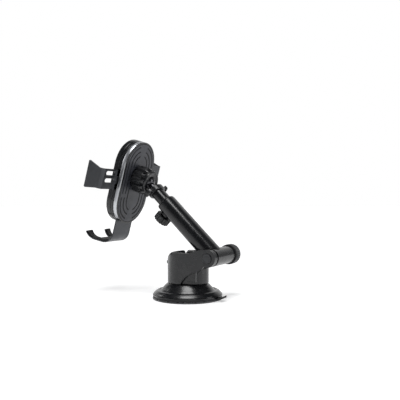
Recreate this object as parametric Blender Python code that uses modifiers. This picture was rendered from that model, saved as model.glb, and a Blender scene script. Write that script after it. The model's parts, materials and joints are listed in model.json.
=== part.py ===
"""Car phone mount: suction base with lock lever, tilting telescopic arm, and a phone head on a ball
joint whose foot and two side wings close together under the phone's weight.

Units are metres. The origin is the centre of the suction pad's bottom face, +Z is up, the phone faces
-Y, and the arm's hinge runs along X. Sizes below are written in millimetres times MM.
"""
from math import acos, asin, atan2, cos, degrees, hypot, pi, radians, sin

import bmesh
import bpy
from mathutils import Vector

MM = 0.001
GAP = 0.3 * MM

# ---- driving dimensions --------------------------------------------------------------------------
PAD_R = 37.5 * MM                 # suction pad radius
PAD_THICK = 1.4 * MM
MEMBRANE_R = 37.0 * MM
MEMBRANE_Z = (1.7 * MM, 3.0 * MM)
CONE_TOP_Z = 16.4 * MM
CONE_CEILING_Z = 14.2 * MM
COLUMN_HALF = 16.8 * MM           # half width of the column on the cone
COLUMN_Y = (-2.5 * MM, 6.6 * MM)  # centres of the column's two round ends
COLUMN_TOP_Z = 45.5 * MM
LEVER_HALF = 19.3 * MM
LEVER_WALL = 2.2 * MM
LEVER_BOTTOM_Z = 17.3 * MM
LEVER_TOP_Z = 49.7 * MM
NOSE = (9.2 * MM, 8.6 * MM)        # rounding of the lever's and the column's top front, back and down

HINGE = Vector((0.0, 33.0 * MM, 45.25 * MM))
ARM_TILT = radians(46.4)          # arm's lean towards the driver, from the vertical
BARREL_R = 9.3 * MM
BARREL_X = (-30.0 * MM, 10.6 * MM)
KNOB_R = 11.0 * MM
KNOB_X = (-42.5 * MM, -31.4 * MM)
WASHER_X = (-31.1 * MM, -30.35 * MM)
CHEEK_X = (12.6 * MM, 16.8 * MM)
BOLT_R = 3.0 * MM

TUBE_OVAL = (11.3 * MM, 9.6 * MM)       # half width and half depth
TUBE_WALL = 1.8 * MM
TUBE_END = 81.6 * MM                    # distances along the arm, from the hinge
INNER_OVAL = (8.2 * MM, 6.7 * MM)
INNER_WALL = 1.5 * MM
INNER_SPAN = (38.0 * MM, 97.0 * MM)
SCREW_AT = 73.8 * MM                    # the thumb screw's place along the arm
CLIP_SPAN = (97.3 * MM, 103.3 * MM)
BALL_AT = 116.0 * MM
BALL_R = 8.0 * MM
STEM_R = 3.2 * MM

HEAD_TILT = radians(15.6)         # the head's lean back, from the vertical
HEAD_L = 47.3 * MM                # half length of the head's round-ended outline
HEAD_W = 27.4 * MM                # half width
BALL_OUT = 14.3 * MM              # ball centre from the back panel's face
BALL_UP = 5.8 * MM                # ball centre above the head's middle
FLOOR_D = (-3.2 * MM, -1.6 * MM)  # rear housing's floor, by depth; 0 is the back panel's face
PLATE_D = (-5.9 * MM, -4.5 * MM)  # foot plate
WING_D = (-8.4 * MM, -6.8 * MM)   # wing plates
FRONT_D = (-15.4 * MM, -9.3 * MM)
FACE_D = -16.6 * MM               # the pad's face, where the phone lies
TRIM_D = (-5.75 * MM, -1.1 * MM)  # bright trim band on the head's side
WING_V = (-9.2 * MM, 12.9 * MM)   # right wing's height span; the left one is turned half round the ball
ARM_V = (-3.4 * MM, 5.2 * MM)     # the same for the arm that reaches inside the head
WING_BEND = 55.5 * MM             # outer side of the wing's bend, from the head's middle
JAW_TIP_D = -25.0 * MM
FOOT_HALF = 15.6 * MM
FOOT_FLARE = (-14.0 * MM, -38.0 * MM, 0.42)  # the fork spreads between these depths, by this share
FOOT_INNER = (18.8 * MM, 20.2 * MM)  # half widths inside the head: the upper part, and at the slots
FOOT_WIDE_V = (-3.0 * MM, 16.0 * MM)
NOTCH_HALF = 8.6 * MM
FOOT_TRAVEL = 18.0 * MM           # the wings close by the same distance
POST = (21.8 * MM, 25.0 * MM)     # screw posts, across and along the head

MODEL_NAME = "car_phone_mount"


# ---- scene, collections, materials ---------------------------------------------------------------
def clear_scene():
    for obj in list(bpy.data.objects):
        bpy.data.objects.remove(obj, do_unlink=True)


clear_scene()
MODEL = bpy.data.collections.new(MODEL_NAME)
CUTTERS = bpy.data.collections.new("cutters")
bpy.context.scene.collection.children.link(MODEL)
bpy.context.scene.collection.children.link(CUTTERS)


def make_material(name, colour, roughness, metallic=0.0):
    mat = bpy.data.materials.new(name)
    mat.use_nodes = True
    shader = mat.node_tree.nodes["Principled BSDF"]
    shader.inputs["Base Color"].default_value = (*colour, 1.0)
    shader.inputs["Roughness"].default_value = roughness
    shader.inputs["Metallic"].default_value = metallic
    return mat


GLOSS_BLACK = make_material("gloss_black_plastic", (0.012, 0.013, 0.015), 0.18)
SATIN_BLACK = make_material("satin_black_plastic", (0.035, 0.037, 0.040), 0.42)
MATT_GREY = make_material("matt_grey_plastic", (0.090, 0.095, 0.110), 0.55)
RUBBER = make_material("black_rubber", (0.020, 0.020, 0.022), 0.70)
GEL = make_material("clear_grey_gel", (0.10, 0.10, 0.11), 0.25)
CHROME = make_material("bright_trim", (0.75, 0.76, 0.80), 0.15, 1.0)
GREY_METAL = make_material("grey_metal", (0.26, 0.27, 0.29), 0.35, 0.8)
STEEL = make_material("steel", (0.55, 0.55, 0.57), 0.30, 1.0)
NYLON = make_material("white_nylon", (0.60, 0.60, 0.58), 0.50)


# ---- frames: empties that the parts of the arm and of the head are placed in -----------------------
def make_frame(name, location, turn_about_x):
    empty = bpy.data.objects.new(name, None)
    empty.location = location
    empty.rotation_euler = (turn_about_x, 0.0, 0.0)
    MODEL.objects.link(empty)
    return empty


ARM_DIR = Vector((0.0, -sin(ARM_TILT), cos(ARM_TILT)))
HEAD_BACK = Vector((0.0, cos(HEAD_TILT), -sin(HEAD_TILT)))
HEAD_UP = Vector((0.0, sin(HEAD_TILT), cos(HEAD_TILT)))
BALL = HINGE + ARM_DIR * BALL_AT
HINGE_FRAME = make_frame("hinge_frame", HINGE, 0.0)
ARM_FRAME = make_frame("arm_frame", HINGE, ARM_TILT)            # local Z runs up the arm
BALL_FRAME = make_frame("ball_frame", BALL, -HEAD_TILT)          # local Y points back, Z up the head
HEAD_FRAME = make_frame("head_frame", BALL - HEAD_BACK * BALL_OUT - HEAD_UP * BALL_UP, -HEAD_TILT)

ALONG_Z = (0.0, 0.0, 0.0)
TO_X = (0.0, pi / 2, 0.0)          # a turned part's axis laid along +X
TO_Y = (-pi / 2, 0.0, 0.0)         # a turned part's axis laid along +Y
SIDE_PLATE = (pi / 2, 0.0, pi / 2)  # outline (x, y) stands as (Y, Z), thickness along X
FACE_PLATE = (pi / 2, 0.0, 0.0)     # outline (x, y) stands as (X, Z), thickness along Y


# ---- objects ---------------------------------------------------------------------------------------
def add_object(name, mesh, mat, frame=None, location=(0, 0, 0), rotation=ALONG_Z, smooth=True):
    """Links a mesh as a part, or as a cutter when it has no material."""
    obj = bpy.data.objects.new(name, mesh)
    obj.location = location
    obj.rotation_euler = rotation
    obj.parent = frame
    if mat is None:
        CUTTERS.objects.link(obj)
        obj.hide_render = True
        obj.display_type = "WIRE"
        return obj
    MODEL.objects.link(obj)
    mesh.materials.append(mat)
    if smooth:
        mesh.shade_smooth()
        mesh.set_sharp_from_angle(angle=radians(35))
    return obj


def evaluated_mesh(obj):
    """The mesh of an object with its modifiers, or of a curve, in the object's own axes."""
    bpy.context.view_layer.update()
    depsgraph = bpy.context.evaluated_depsgraph_get()
    return bpy.data.meshes.new_from_object(obj.evaluated_get(depsgraph))


def weld(mesh, distance=1e-6):
    bm = bmesh.new()
    bm.from_mesh(mesh)
    bmesh.ops.remove_doubles(bm, verts=bm.verts, dist=distance)
    bm.to_mesh(mesh)
    bm.free()


def curve_to_mesh(curve):
    """Turns a curve into a welded mesh and removes the curve object."""
    obj = bpy.data.objects.new("outline", curve)
    CUTTERS.objects.link(obj)
    mesh = evaluated_mesh(obj)
    bpy.data.objects.remove(obj, do_unlink=True)
    weld(mesh)
    return mesh


def plate(name, outlines, span, mat, frame=None, rotation=ALONG_Z, location=(0, 0, 0)):
    """A flat plate from one closed outline and its holes; span is its lowest and highest level along
    the outline's normal, which is local Z before the rotation."""
    curve = bpy.data.curves.new(name, "CURVE")
    curve.dimensions = "2D"
    curve.fill_mode = "BOTH"
    curve.extrude = 0.5 * (span[1] - span[0])
    for outline in outlines:
        spline = curve.splines.new("POLY")
        spline.points.add(len(outline) - 1)
        for point, (x, y) in zip(spline.points, outline):
            point.co = (x, y, 0.0, 1.0)
        spline.use_cyclic_u = True
    mesh = curve_to_mesh(curve)
    middle = 0.5 * (span[0] + span[1])
    for vertex in mesh.vertices:
        vertex.co.z += middle
    return add_object(name, mesh, mat, frame, location, rotation)


def side_plate(name, outlines, x_span, mat, frame=None, location=(0, 0, 0)):
    """A plate that stands across X; its outline is in (Y, Z)."""
    return plate(name, outlines, x_span, mat, frame, SIDE_PLATE, location)


def face_plate(name, outlines, depth_span, mat, frame=None, location=(0, 0, 0)):
    """A plate that stands across Y; its outline is in (X, Z)."""
    return plate(name, outlines, (-depth_span[1], -depth_span[0]), mat, frame, FACE_PLATE, location)


def turned(name, profile, mat, frame=None, rotation=ALONG_Z, location=(0, 0, 0), steps=32, ring=False):
    """A turned part. The profile is (radius, height) and runs down the outer side; a ring's profile
    is a closed loop, and any other starts and ends on the axis."""
    mesh = bpy.data.meshes.new(name)
    verts = [(radius, 0.0, height) for radius, height in profile]
    edges = [(i, i + 1) for i in range(len(verts) - 1)]
    if ring:
        edges.append((len(verts) - 1, 0))
    mesh.from_pydata(verts, edges, [])
    obj = add_object(name, mesh, mat, frame, location, rotation, smooth=False)
    screw = obj.modifiers.new("turn", "SCREW")
    screw.axis = "Z"
    screw.steps = steps
    screw.render_steps = steps
    screw.use_merge_vertices = True
    screw.merge_threshold = 1e-6
    screw.use_smooth_shade = True
    return obj


def box(name, x_span, y_span, z_span, mat=None, frame=None):
    bm = bmesh.new()
    bmesh.ops.create_cube(bm, size=1.0)
    size = [span[1] - span[0] for span in (x_span, y_span, z_span)]
    middle = [0.5 * (span[1] + span[0]) for span in (x_span, y_span, z_span)]
    bmesh.ops.scale(bm, verts=bm.verts, vec=size)
    bmesh.ops.translate(bm, verts=bm.verts, vec=middle)
    mesh = bpy.data.meshes.new(name)
    bm.to_mesh(mesh)
    bm.free()
    return add_object(name, mesh, mat, frame)


def rod(name, radius, span, mat=None, frame=None, rotation=ALONG_Z, location=(0, 0, 0), sides=32):
    """A cylinder whose ends are at the two levels of span along its axis."""
    bm = bmesh.new()
    bmesh.ops.create_cone(bm, cap_ends=True, segments=sides, radius1=radius, radius2=radius,
                          depth=span[1] - span[0])
    bmesh.ops.translate(bm, verts=bm.verts, vec=(0, 0, 0.5 * (span[0] + span[1])))
    mesh = bpy.data.meshes.new(name)
    bm.to_mesh(mesh)
    bm.free()
    return add_object(name, mesh, mat, frame, location, rotation)


def combine(obj, other, operation):
    modifier = obj.modifiers.new(operation.lower(), "BOOLEAN")
    modifier.operation = operation
    modifier.solver = "EXACT"
    modifier.object = other


def cut(obj, other):
    combine(obj, other, "DIFFERENCE")


def join(obj, other):
    combine(obj, other, "UNION")


def keep_inside(obj, other):
    combine(obj, other, "INTERSECT")


def bevel(obj, width, segments=1, angle=40):
    modifier = obj.modifiers.new("bevel", "BEVEL")
    modifier.width = width
    modifier.segments = segments
    modifier.limit_method = "ANGLE"
    modifier.angle_limit = radians(angle)


# ---- outlines --------------------------------------------------------------------------------------
def arc(centre, radius, start, end, count):
    """Points on an arc, angles in degrees, both ends included."""
    points = []
    for i in range(count + 1):
        angle = radians(start + (end - start) * i / count)
        points.append((centre[0] + radius * cos(angle), centre[1] + radius * sin(angle)))
    return points


def circle(centre, radius, count=32):
    return arc(centre, radius, 0, 360 - 360 / count, count - 1)


def oval(half_sizes, count=32):
    """A soft rectangle between an ellipse and a box (a superellipse)."""
    power = 2 / 2.4
    points = []
    for i in range(count):
        angle = 2 * pi * i / count
        c, s = cos(angle), sin(angle)
        x = half_sizes[0] * abs(c) ** power * (1 if c >= 0 else -1)
        y = half_sizes[1] * abs(s) ** power * (1 if s >= 0 else -1)
        points.append((x, y))
    return points


def stadium(half_length, half_width, count=12):
    """A round-ended outline that stands along its second axis."""
    rise = half_length - half_width
    return arc((0, rise), half_width, 0, 180, count) + arc((0, -rise), half_width, 180, 360, count)


def slot(start, end, radius, count=6):
    """A round-ended slot between two centres."""
    heading = degrees(atan2(end[1] - start[1], end[0] - start[0]))
    return (arc(end, radius, heading - 90, heading + 90, count)
            + arc(start, radius, heading + 90, heading + 270, count))


def rectangle(x0, x1, y0, y1):
    return [(x0, y0), (x1, y0), (x1, y1), (x0, y1)]


def lobed(radius, depth, lobes, per_lobe=6):
    """A knob's outline with round lobes."""
    points = []
    for i in range(lobes * per_lobe):
        angle = 2 * pi * i / (lobes * per_lobe)
        dip = (0.5 - 0.5 * cos(lobes * angle)) ** 2
        reach = radius - depth * dip
        points.append((reach * cos(angle), reach * sin(angle)))
    return points


def ribbon(path, thickness, shift=0.0):
    """The outline of a strip that follows a path: a side at `shift` and a side one thickness away, on
    the left of the path's heading."""
    near, far = [], []
    for i, point in enumerate(path):
        before = path[max(i - 1, 0)]
        after = path[min(i + 1, len(path) - 1)]
        dx, dy = after[0] - before[0], after[1] - before[1]
        size = hypot(dx, dy)
        left = (-dy / size, dx / size)
        near.append((point[0] + left[0] * shift, point[1] + left[1] * shift))
        reach = shift + thickness
        far.append((point[0] + left[0] * reach, point[1] + left[1] * reach))
    return near + far[::-1]


def in_frame(point):
    """A side-view point given from the hinge's axis, as (Y, Z)."""
    return (HINGE.y + point[0], HINGE.z + point[1])


# ---- suction base ----------------------------------------------------------------------------------
def build_pads():
    edge = 0.5 * MM
    turned("suction_gel_pad",
           [(0, PAD_THICK), (PAD_R - edge, PAD_THICK), (PAD_R, PAD_THICK - edge), (PAD_R, 0), (0, 0)],
           GEL, steps=40)
    low, high = MEMBRANE_Z
    membrane = turned("suction_membrane",
                      [(0, high), (MEMBRANE_R - edge, high), (MEMBRANE_R, high - edge),
                       (MEMBRANE_R, low), (0, low)], RUBBER, steps=40)
    tab_path = [(34 * MM, low), (39 * MM, low), (42 * MM, low + 0.5 * MM), (44.0 * MM, low + 1.6 * MM),
                (45.2 * MM, low + 3.0 * MM)]
    tab = side_plate("tab_shape", [ribbon(tab_path, high - low)], (-5 * MM, 5 * MM), None)
    join(membrane, tab)


def build_base_shells():
    turned("base_ring",
           [(35.0 * MM, 4.9 * MM), (36.8 * MM, 4.9 * MM), (37.3 * MM, 4.4 * MM), (37.3 * MM, 3.8 * MM),
            (36.8 * MM, 3.3 * MM), (35.0 * MM, 3.3 * MM)], GLOSS_BLACK, steps=40, ring=True)
    cone = turned("base_cone",
                  [(6.0 * MM, CONE_TOP_Z), (21.6 * MM, CONE_TOP_Z), (22.3 * MM, 15.9 * MM),
                   (26.0 * MM, 12.3 * MM), (29.6 * MM, 8.7 * MM), (30.2 * MM, 8.5 * MM),
                   (30.7 * MM, 9.1 * MM), (31.5 * MM, 9.3 * MM), (33.3 * MM, 8.8 * MM),
                   (35.3 * MM, 7.3 * MM), (36.6 * MM, 5.8 * MM), (36.7 * MM, 5.2 * MM),
                   (33.5 * MM, 5.2 * MM), (28.5 * MM, 6.6 * MM), (24.5 * MM, 10.2 * MM),
                   (21.0 * MM, CONE_CEILING_Z), (6.0 * MM, CONE_CEILING_Z)],
                  GLOSS_BLACK, steps=40, ring=True)
    for i, (x, y) in enumerate(neck_screw_places()):
        hole = rod("neck_screw_hole_%d" % (i + 1), 1.6 * MM, (13 * MM, 17 * MM), location=(x, y, 0), sides=12)
        cut(cone, hole)


def neck_screw_places():
    radius = 12.5 * MM
    return [(radius * cos(radians(a)), radius * sin(radians(a))) for a in (90, 210, 330)]


def build_neck_screws():
    for i, (x, y) in enumerate(neck_screw_places()):
        turned("neck_screw_%d" % (i + 1),
               [(0, 23.5 * MM), (1.3 * MM, 23.5 * MM), (1.3 * MM, 13.9 * MM), (2.6 * MM, 13.9 * MM),
                (2.6 * MM, 12.4 * MM), (0, 12.4 * MM)], STEEL, location=(x, y, 0), steps=12)


def build_stem():
    """The draw bolt that pulls the cup's middle up, its cross pin, and the spring round it."""
    turned("suction_stem",
           [(0, 25.5 * MM), (4.4 * MM, 25.5 * MM), (4.8 * MM, 25.0 * MM), (4.8 * MM, 8.2 * MM),
            (9.0 * MM, 8.2 * MM), (9.0 * MM, 6.6 * MM), (0, 6.6 * MM)], SATIN_BLACK, steps=24)
    stem = bpy.data.objects["suction_stem"]
    cut(stem, rod("stem_pin_hole", 1.8 * MM, (-8 * MM, 8 * MM), rotation=TO_X,
                  location=(0, 0, 22 * MM), sides=12))
    rod("stem_pin", 1.5 * MM, (-15.2 * MM, 15.2 * MM), STEEL, rotation=TO_X,
        location=(0, 0, 22 * MM), sides=16)
    turns, per_turn = 3, 12
    low, high = 9.3 * MM, 13.1 * MM
    count = turns * per_turn
    points = []
    for i in range(count + 1):
        angle = 2 * pi * i / per_turn
        points.append((7.0 * MM * cos(angle), 7.0 * MM * sin(angle), low + (high - low) * i / count))
    wire("stem_spring", points, 0.45 * MM, STEEL, None, 0)


def wire(name, points, radius, mat, frame=None, resolution=1):
    """A round wire along points, welded to one closed mesh."""
    curve = bpy.data.curves.new(name, "CURVE")
    curve.dimensions = "3D"
    curve.bevel_depth = radius
    curve.bevel_resolution = resolution
    curve.use_fill_caps = True
    spline = curve.splines.new("POLY")
    spline.points.add(len(points) - 1)
    for target, point in zip(spline.points, points):
        target.co = (*point, 1.0)
    return add_object(name, curve_to_mesh(curve), mat, frame)


def column_outline(half):
    front, rear = COLUMN_Y
    return arc((0, rear), half, 0, 180, 16) + arc((0, front), half, 180, 360, 16)


def nose_envelope(name, radius, top):
    """A cutter that rounds the front of a round-fronted block: it leans back towards its top, and
    keeps its full width across X, so the flat sides are left alone."""
    back, down = NOSE
    steps = 8
    profile = [(0, top)]
    for i in range(steps + 1):
        angle = 0.5 * pi * i / steps
        profile.append((radius - back * (1 - sin(angle)), top - down * (1 - cos(angle))))
    profile += [(radius, 0), (0, 0)]
    nose = turned(name, profile, None, location=(0, COLUMN_Y[0], 0), steps=36)
    full_width = radius + 0.5 * MM
    for vertex in nose.data.vertices:
        reach = hypot(vertex.co.x, vertex.co.y)
        if reach > 0.1 * MM:
            vertex.co.x *= full_width / reach
    body = box(name + "_body", (-80 * MM, 80 * MM), (COLUMN_Y[0], 80 * MM), (0, top + 12 * MM))
    join(nose, body)
    return nose


def build_neck_bracket():
    """The column on the cone, with a cheek beside the arm and a saddle under the barrel."""
    bracket = plate("neck_bracket", [column_outline(COLUMN_HALF)],
                    (CONE_TOP_Z + GAP, COLUMN_TOP_Z), GLOSS_BLACK)
    keep_inside(bracket, nose_envelope("column_nose", COLUMN_HALF, COLUMN_TOP_Z))
    slope = [(9 * MM, COLUMN_TOP_Z), (30 * MM, 35.3 * MM), (30 * MM, 60 * MM), (9 * MM, 60 * MM)]
    cut(bracket, side_plate("column_slope", [slope], (-30 * MM, 30 * MM), None))
    dome = [(0, 50.9 * MM), (2.2 * MM, 50.5 * MM), (4.2 * MM, 49.3 * MM), (5.6 * MM, 47.2 * MM),
            (6.0 * MM, 44 * MM), (0, 44 * MM)]
    join(bracket, turned("column_dome", dome, None, location=(0, 4.0 * MM, 0), steps=20))
    rear = COLUMN_Y[1] + COLUMN_HALF
    eye = 9.0 * MM
    eye_rim = [in_frame(p) for p in arc((0, 0), eye, -112, 128, 20)]
    cheek_outline = [(5 * MM, 20 * MM), (rear - 5.0 * MM, 20 * MM), (rear - 4.0 * MM, 31 * MM),
                     (rear - 0.5 * MM, 34.2 * MM)] + eye_rim + [(10 * MM, 37 * MM), (5 * MM, 30 * MM)]
    cheek = side_plate("cheek_shape", [cheek_outline], CHEEK_X, None)
    saddle_rim = [in_frame(p) for p in arc((0, 0), BARREL_R + 0.7 * MM, -98, -130, 6)]
    saddle_outline = [(5 * MM, 20 * MM), (rear - 5.5 * MM, 20 * MM), (rear - 4.0 * MM, 29.5 * MM),
                      (rear + 0.5 * MM, 33.0 * MM)] + saddle_rim + [(20.0 * MM, 36.5 * MM),
                                                                   (5 * MM, 29.5 * MM)]
    saddle = side_plate("saddle_shape", [saddle_outline], (-3 * MM, 13 * MM), None)
    join(bracket, saddle)
    join(bracket, cheek)
    hub = rod("hub_shape", 5.2 * MM, (16.5 * MM, 19.0 * MM), rotation=TO_X, location=HINGE)
    join(bracket, hub)
    cut(bracket, rod("hub_recess", 4.5 * MM, (17.2 * MM, 19.5 * MM), rotation=TO_X, location=HINGE,
                     sides=24))
    cut(bracket, rod("cheek_bore", BOLT_R + GAP, (12 * MM, 18 * MM), rotation=TO_X, location=HINGE,
                     sides=24))
    cut(bracket, rod("stem_bore", 5.2 * MM, (16 * MM, 27.5 * MM), sides=24))
    cut(bracket, box("pin_slot", (-20 * MM, 20 * MM), (-1.9 * MM, 1.9 * MM), (17.0 * MM, 26.0 * MM)))
    for i, (x, y) in enumerate(neck_screw_places()):
        cut(bracket, rod("column_screw_hole_%d" % (i + 1), 1.6 * MM, (16 * MM, 24 * MM),
                         location=(x, y, 0), sides=12))


def lever_plan(half, front_centre, rear):
    """The lever's plan: a round front and straight sides that run back."""
    return [(half, rear)] + [(-half, rear)] + arc((0, front_centre), half, 180, 360, 20)


def build_lock_lever():
    """A U-shaped lever round the column; its near wall reaches back to the hinge."""
    front_centre = COLUMN_Y[0]
    front = front_centre - LEVER_HALF
    eye = 9.2 * MM
    lever = plate("lock_lever", [lever_plan(LEVER_HALF, front_centre, 44 * MM)],
                  (15 * MM, 57 * MM), SATIN_BLACK)
    low_arch = [(1.9 * MM, LEVER_BOTTOM_Z), (4.4 * MM, 21.2 * MM), (7.7 * MM, 24.6 * MM),
                (11.2 * MM, 27.0 * MM), (15.0 * MM, 28.9 * MM), (20.0 * MM, 30.9 * MM),
                (26.0 * MM, 33.4 * MM)]
    eye_rim = [in_frame(p) for p in arc((0, 0), eye, -112, 97, 18)]
    shape = ([(front - 1 * MM, LEVER_BOTTOM_Z)] + low_arch + eye_rim
             + [(24 * MM, 53.3 * MM), (15 * MM, 50.6 * MM), (6 * MM, LEVER_TOP_Z),
                (front - 1 * MM, LEVER_TOP_Z)])
    side = side_plate("lever_side_shape", [shape], (-25 * MM, 25 * MM), None)
    keep_inside(lever, side)
    keep_inside(lever, nose_envelope("lever_nose", LEVER_HALF, LEVER_TOP_Z))
    cavity_top = LEVER_TOP_Z - LEVER_WALL
    cavity = plate("lever_cavity", [lever_plan(LEVER_HALF - LEVER_WALL, front_centre, 60 * MM)],
                   (10 * MM, cavity_top), None)
    keep_inside(cavity, nose_envelope("cavity_nose", LEVER_HALF - LEVER_WALL, cavity_top))
    cut(lever, cavity)
    inner = LEVER_HALF - LEVER_WALL
    cut(lever, box("lever_top_opening", (-inner, inner), (-12 * MM, 60 * MM), (45 * MM, 60 * MM)))
    cut(lever, box("lever_far_cut", (-25 * MM, -0.5 * inner), (14 * MM, 60 * MM), (5 * MM, 60 * MM)))
    cut(lever, rod("lever_eye_hole", 5.5 * MM, (15 * MM, 21 * MM), rotation=TO_X, location=HINGE))
    lip = box("lever_lip_shape", (-4 * MM, 4 * MM), (front - 2.4 * MM, front + 1.0 * MM),
              (36.0 * MM, 39.4 * MM))
    join(lever, lip)


# ---- hinge -----------------------------------------------------------------------------------------
def build_hinge():
    turned("hinge_bolt",
           [(0, 18.8 * MM), (3.8 * MM, 18.8 * MM), (4.2 * MM, 18.4 * MM), (4.2 * MM, 17.5 * MM),
            (BOLT_R, 17.5 * MM), (BOLT_R, -39.1 * MM), (0, -39.1 * MM)],
           STEEL, HINGE_FRAME, TO_X, steps=24)
    turned("hinge_cap",
           [(0, 20.1 * MM), (4.6 * MM, 20.1 * MM), (5.0 * MM, 19.8 * MM), (5.0 * MM, 19.4 * MM),
            (0, 19.4 * MM)], SATIN_BLACK, HINGE_FRAME, TO_X, steps=32)
    teeth = lobed(8.7 * MM, 0.6 * MM, 30, 2)
    plate("tooth_ring", [teeth, circle((0, 0), BOLT_R + GAP, 24)], (10.95 * MM, 12.25 * MM),
          SATIN_BLACK, HINGE_FRAME, TO_X)
    turned("knob_washer",
           [(BOLT_R + GAP, WASHER_X[1]), (10.7 * MM, WASHER_X[1]), (10.7 * MM, WASHER_X[0]),
            (BOLT_R + GAP, WASHER_X[0])], RUBBER, HINGE_FRAME, TO_X, ring=True)
    flutes = lobed(KNOB_R, 0.7 * MM, 32, 3)
    knob = plate("hinge_knob", [flutes], KNOB_X, SATIN_BLACK, HINGE_FRAME, TO_X)
    envelope = turned("knob_envelope",
                      [(0, KNOB_X[1] + 1 * MM), (KNOB_R + 1 * MM, KNOB_X[1] + 1 * MM),
                       (KNOB_R + 1 * MM, KNOB_X[0] + 2.2 * MM), (KNOB_R - 1.6 * MM, KNOB_X[0] - 0.2 * MM),
                       (0, KNOB_X[0] - 0.2 * MM)], None, HINGE_FRAME, TO_X)
    keep_inside(knob, envelope)
    cut(knob, rod("knob_bore", BOLT_R + GAP, (-39.5 * MM, -30.5 * MM), None, HINGE_FRAME, TO_X, sides=24))


def build_arm_barrel():
    low, high = BARREL_X
    edge = 0.6 * MM
    barrel = turned("arm_barrel",
                    [(0, high), (BARREL_R - edge, high), (BARREL_R, high - edge), (BARREL_R, low + edge),
                     (BARREL_R - edge, low), (0, low)], GLOSS_BLACK, HINGE_FRAME, TO_X)
    plug_oval = (TUBE_OVAL[0] - TUBE_WALL - 0.4 * MM, TUBE_OVAL[1] - TUBE_WALL - 0.4 * MM)
    join(barrel, plate("barrel_plug", [oval(plug_oval)], (2 * MM, 18 * MM), None, ARM_FRAME))
    cut(barrel, rod("barrel_bore", BOLT_R + GAP, (-34 * MM, 14 * MM), None, HINGE_FRAME, TO_X, sides=24))


# ---- telescopic arm --------------------------------------------------------------------------------
def build_outer_tube():
    bore = (TUBE_OVAL[0] - TUBE_WALL, TUBE_OVAL[1] - TUBE_WALL)
    tube = plate("outer_tube", [oval(TUBE_OVAL), oval(bore)], (3 * MM, TUBE_END), GLOSS_BLACK, ARM_FRAME)
    cut(tube, rod("tube_saddle", BARREL_R + GAP, (-34 * MM, 14 * MM), None, HINGE_FRAME, TO_X, sides=48))
    boss = rod("tube_boss", 5.4 * MM, (-11.4 * MM, -8.6 * MM), None, ARM_FRAME, TO_Y,
               (0, 0, SCREW_AT), sides=24)
    join(tube, boss)
    cut(tube, rod("tube_screw_hole", 3.0 * MM, (-13 * MM, -5 * MM), None, ARM_FRAME, TO_Y,
                  (0, 0, SCREW_AT), sides=20))


def build_tube_bushing():
    outer = (TUBE_OVAL[0] - TUBE_WALL - 0.3 * MM, TUBE_OVAL[1] - TUBE_WALL - 0.3 * MM)
    inner = (INNER_OVAL[0] + 0.3 * MM, INNER_OVAL[1] + 0.3 * MM)
    bushing = plate("tube_bushing", [oval(outer, 24), oval(inner, 24)], (64 * MM, 82.4 * MM), SATIN_BLACK,
                    ARM_FRAME)
    lip = (TUBE_OVAL[0] - 0.3 * MM, TUBE_OVAL[1] - 0.3 * MM)
    low, high = TUBE_END + GAP, TUBE_END + 1.4 * MM
    collar = plate("bushing_lip", [oval(lip, 24), oval((inner[0] + 0.2 * MM, inner[1] + 0.2 * MM), 24)],
                   (low, high), None, ARM_FRAME)
    join(bushing, collar)
    cut(bushing, rod("bushing_screw_hole", 3.0 * MM, (-13 * MM, -5 * MM), None, ARM_FRAME, TO_Y,
                     (0, 0, SCREW_AT), sides=20))


def build_thumb_screw():
    grip = plate("thumb_screw", [lobed(9.0 * MM, 1.0 * MM, 14, 4)], (-19.8 * MM, -11.8 * MM),
                 SATIN_BLACK, ARM_FRAME, TO_Y, (0, 0, SCREW_AT))
    bevel(grip, 0.9 * MM, 1, 60)
    join(grip, rod("screw_shaft", 2.6 * MM, (-12.5 * MM, -7.1 * MM), None, ARM_FRAME, TO_Y,
                   (0, 0, SCREW_AT), sides=20))


def build_inner_tube():
    bore = (INNER_OVAL[0] - INNER_WALL, INNER_OVAL[1] - INNER_WALL)
    plate("inner_tube", [oval(INNER_OVAL), oval(bore)], INNER_SPAN, GLOSS_BLACK, ARM_FRAME)
    shoe_oval = (TUBE_OVAL[0] - TUBE_WALL - 0.4 * MM, TUBE_OVAL[1] - TUBE_WALL - 0.4 * MM)
    low = INNER_SPAN[0]
    shoe = plate("slide_shoe", [oval(shoe_oval, 24)], (low - 6 * MM, low - GAP), NYLON, ARM_FRAME)
    peg = plate("shoe_peg", [oval((bore[0] - GAP, bore[1] - GAP), 24)], (low - 2 * MM, low + 5 * MM),
                None, ARM_FRAME)
    join(shoe, peg)


def hook_path(side):
    """A cable hook's middle line, in the plane across the arm, for side +1 or -1."""
    rise = arc((0, -2.6 * MM), 4.0 * MM, 90, -60, 10)
    path = [(7.0 * MM, 1.4 * MM)] + [(10.6 * MM + x, y) for x, y in rise]
    return [(side * x, side * y) for x, y in path]


def build_cable_clip():
    low, high = CLIP_SPAN
    clip = plate("cable_clip", [oval((10.2 * MM, 8.6 * MM), 28)], CLIP_SPAN, SATIN_BLACK, ARM_FRAME)
    for side, name in ((1, "near"), (-1, "far")):
        outline = ribbon(hook_path(side), 3.0 * MM, -1.5 * MM)
        hook = plate("clip_hook_" + name, [outline], (low + 0.6 * MM, high - 0.6 * MM), None, ARM_FRAME)
        join(clip, hook)


def build_ball_stud():
    low = CLIP_SPAN[1] + GAP
    neck = asin(STEM_R / BALL_R)
    profile = [(0.0, BALL_AT + BALL_R)]
    rings = 8
    for i in range(1, rings + 1):
        angle = (pi - neck) * i / rings
        profile.append((BALL_R * sin(angle), BALL_AT + BALL_R * cos(angle)))
    profile += [(STEM_R, low + 2.4 * MM), (5.0 * MM, low + 1.4 * MM), (6.2 * MM, low + 1.0 * MM),
                (6.2 * MM, low), (0, low)]
    turned("ball_stud", profile, STEEL, ARM_FRAME, steps=24)


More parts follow.
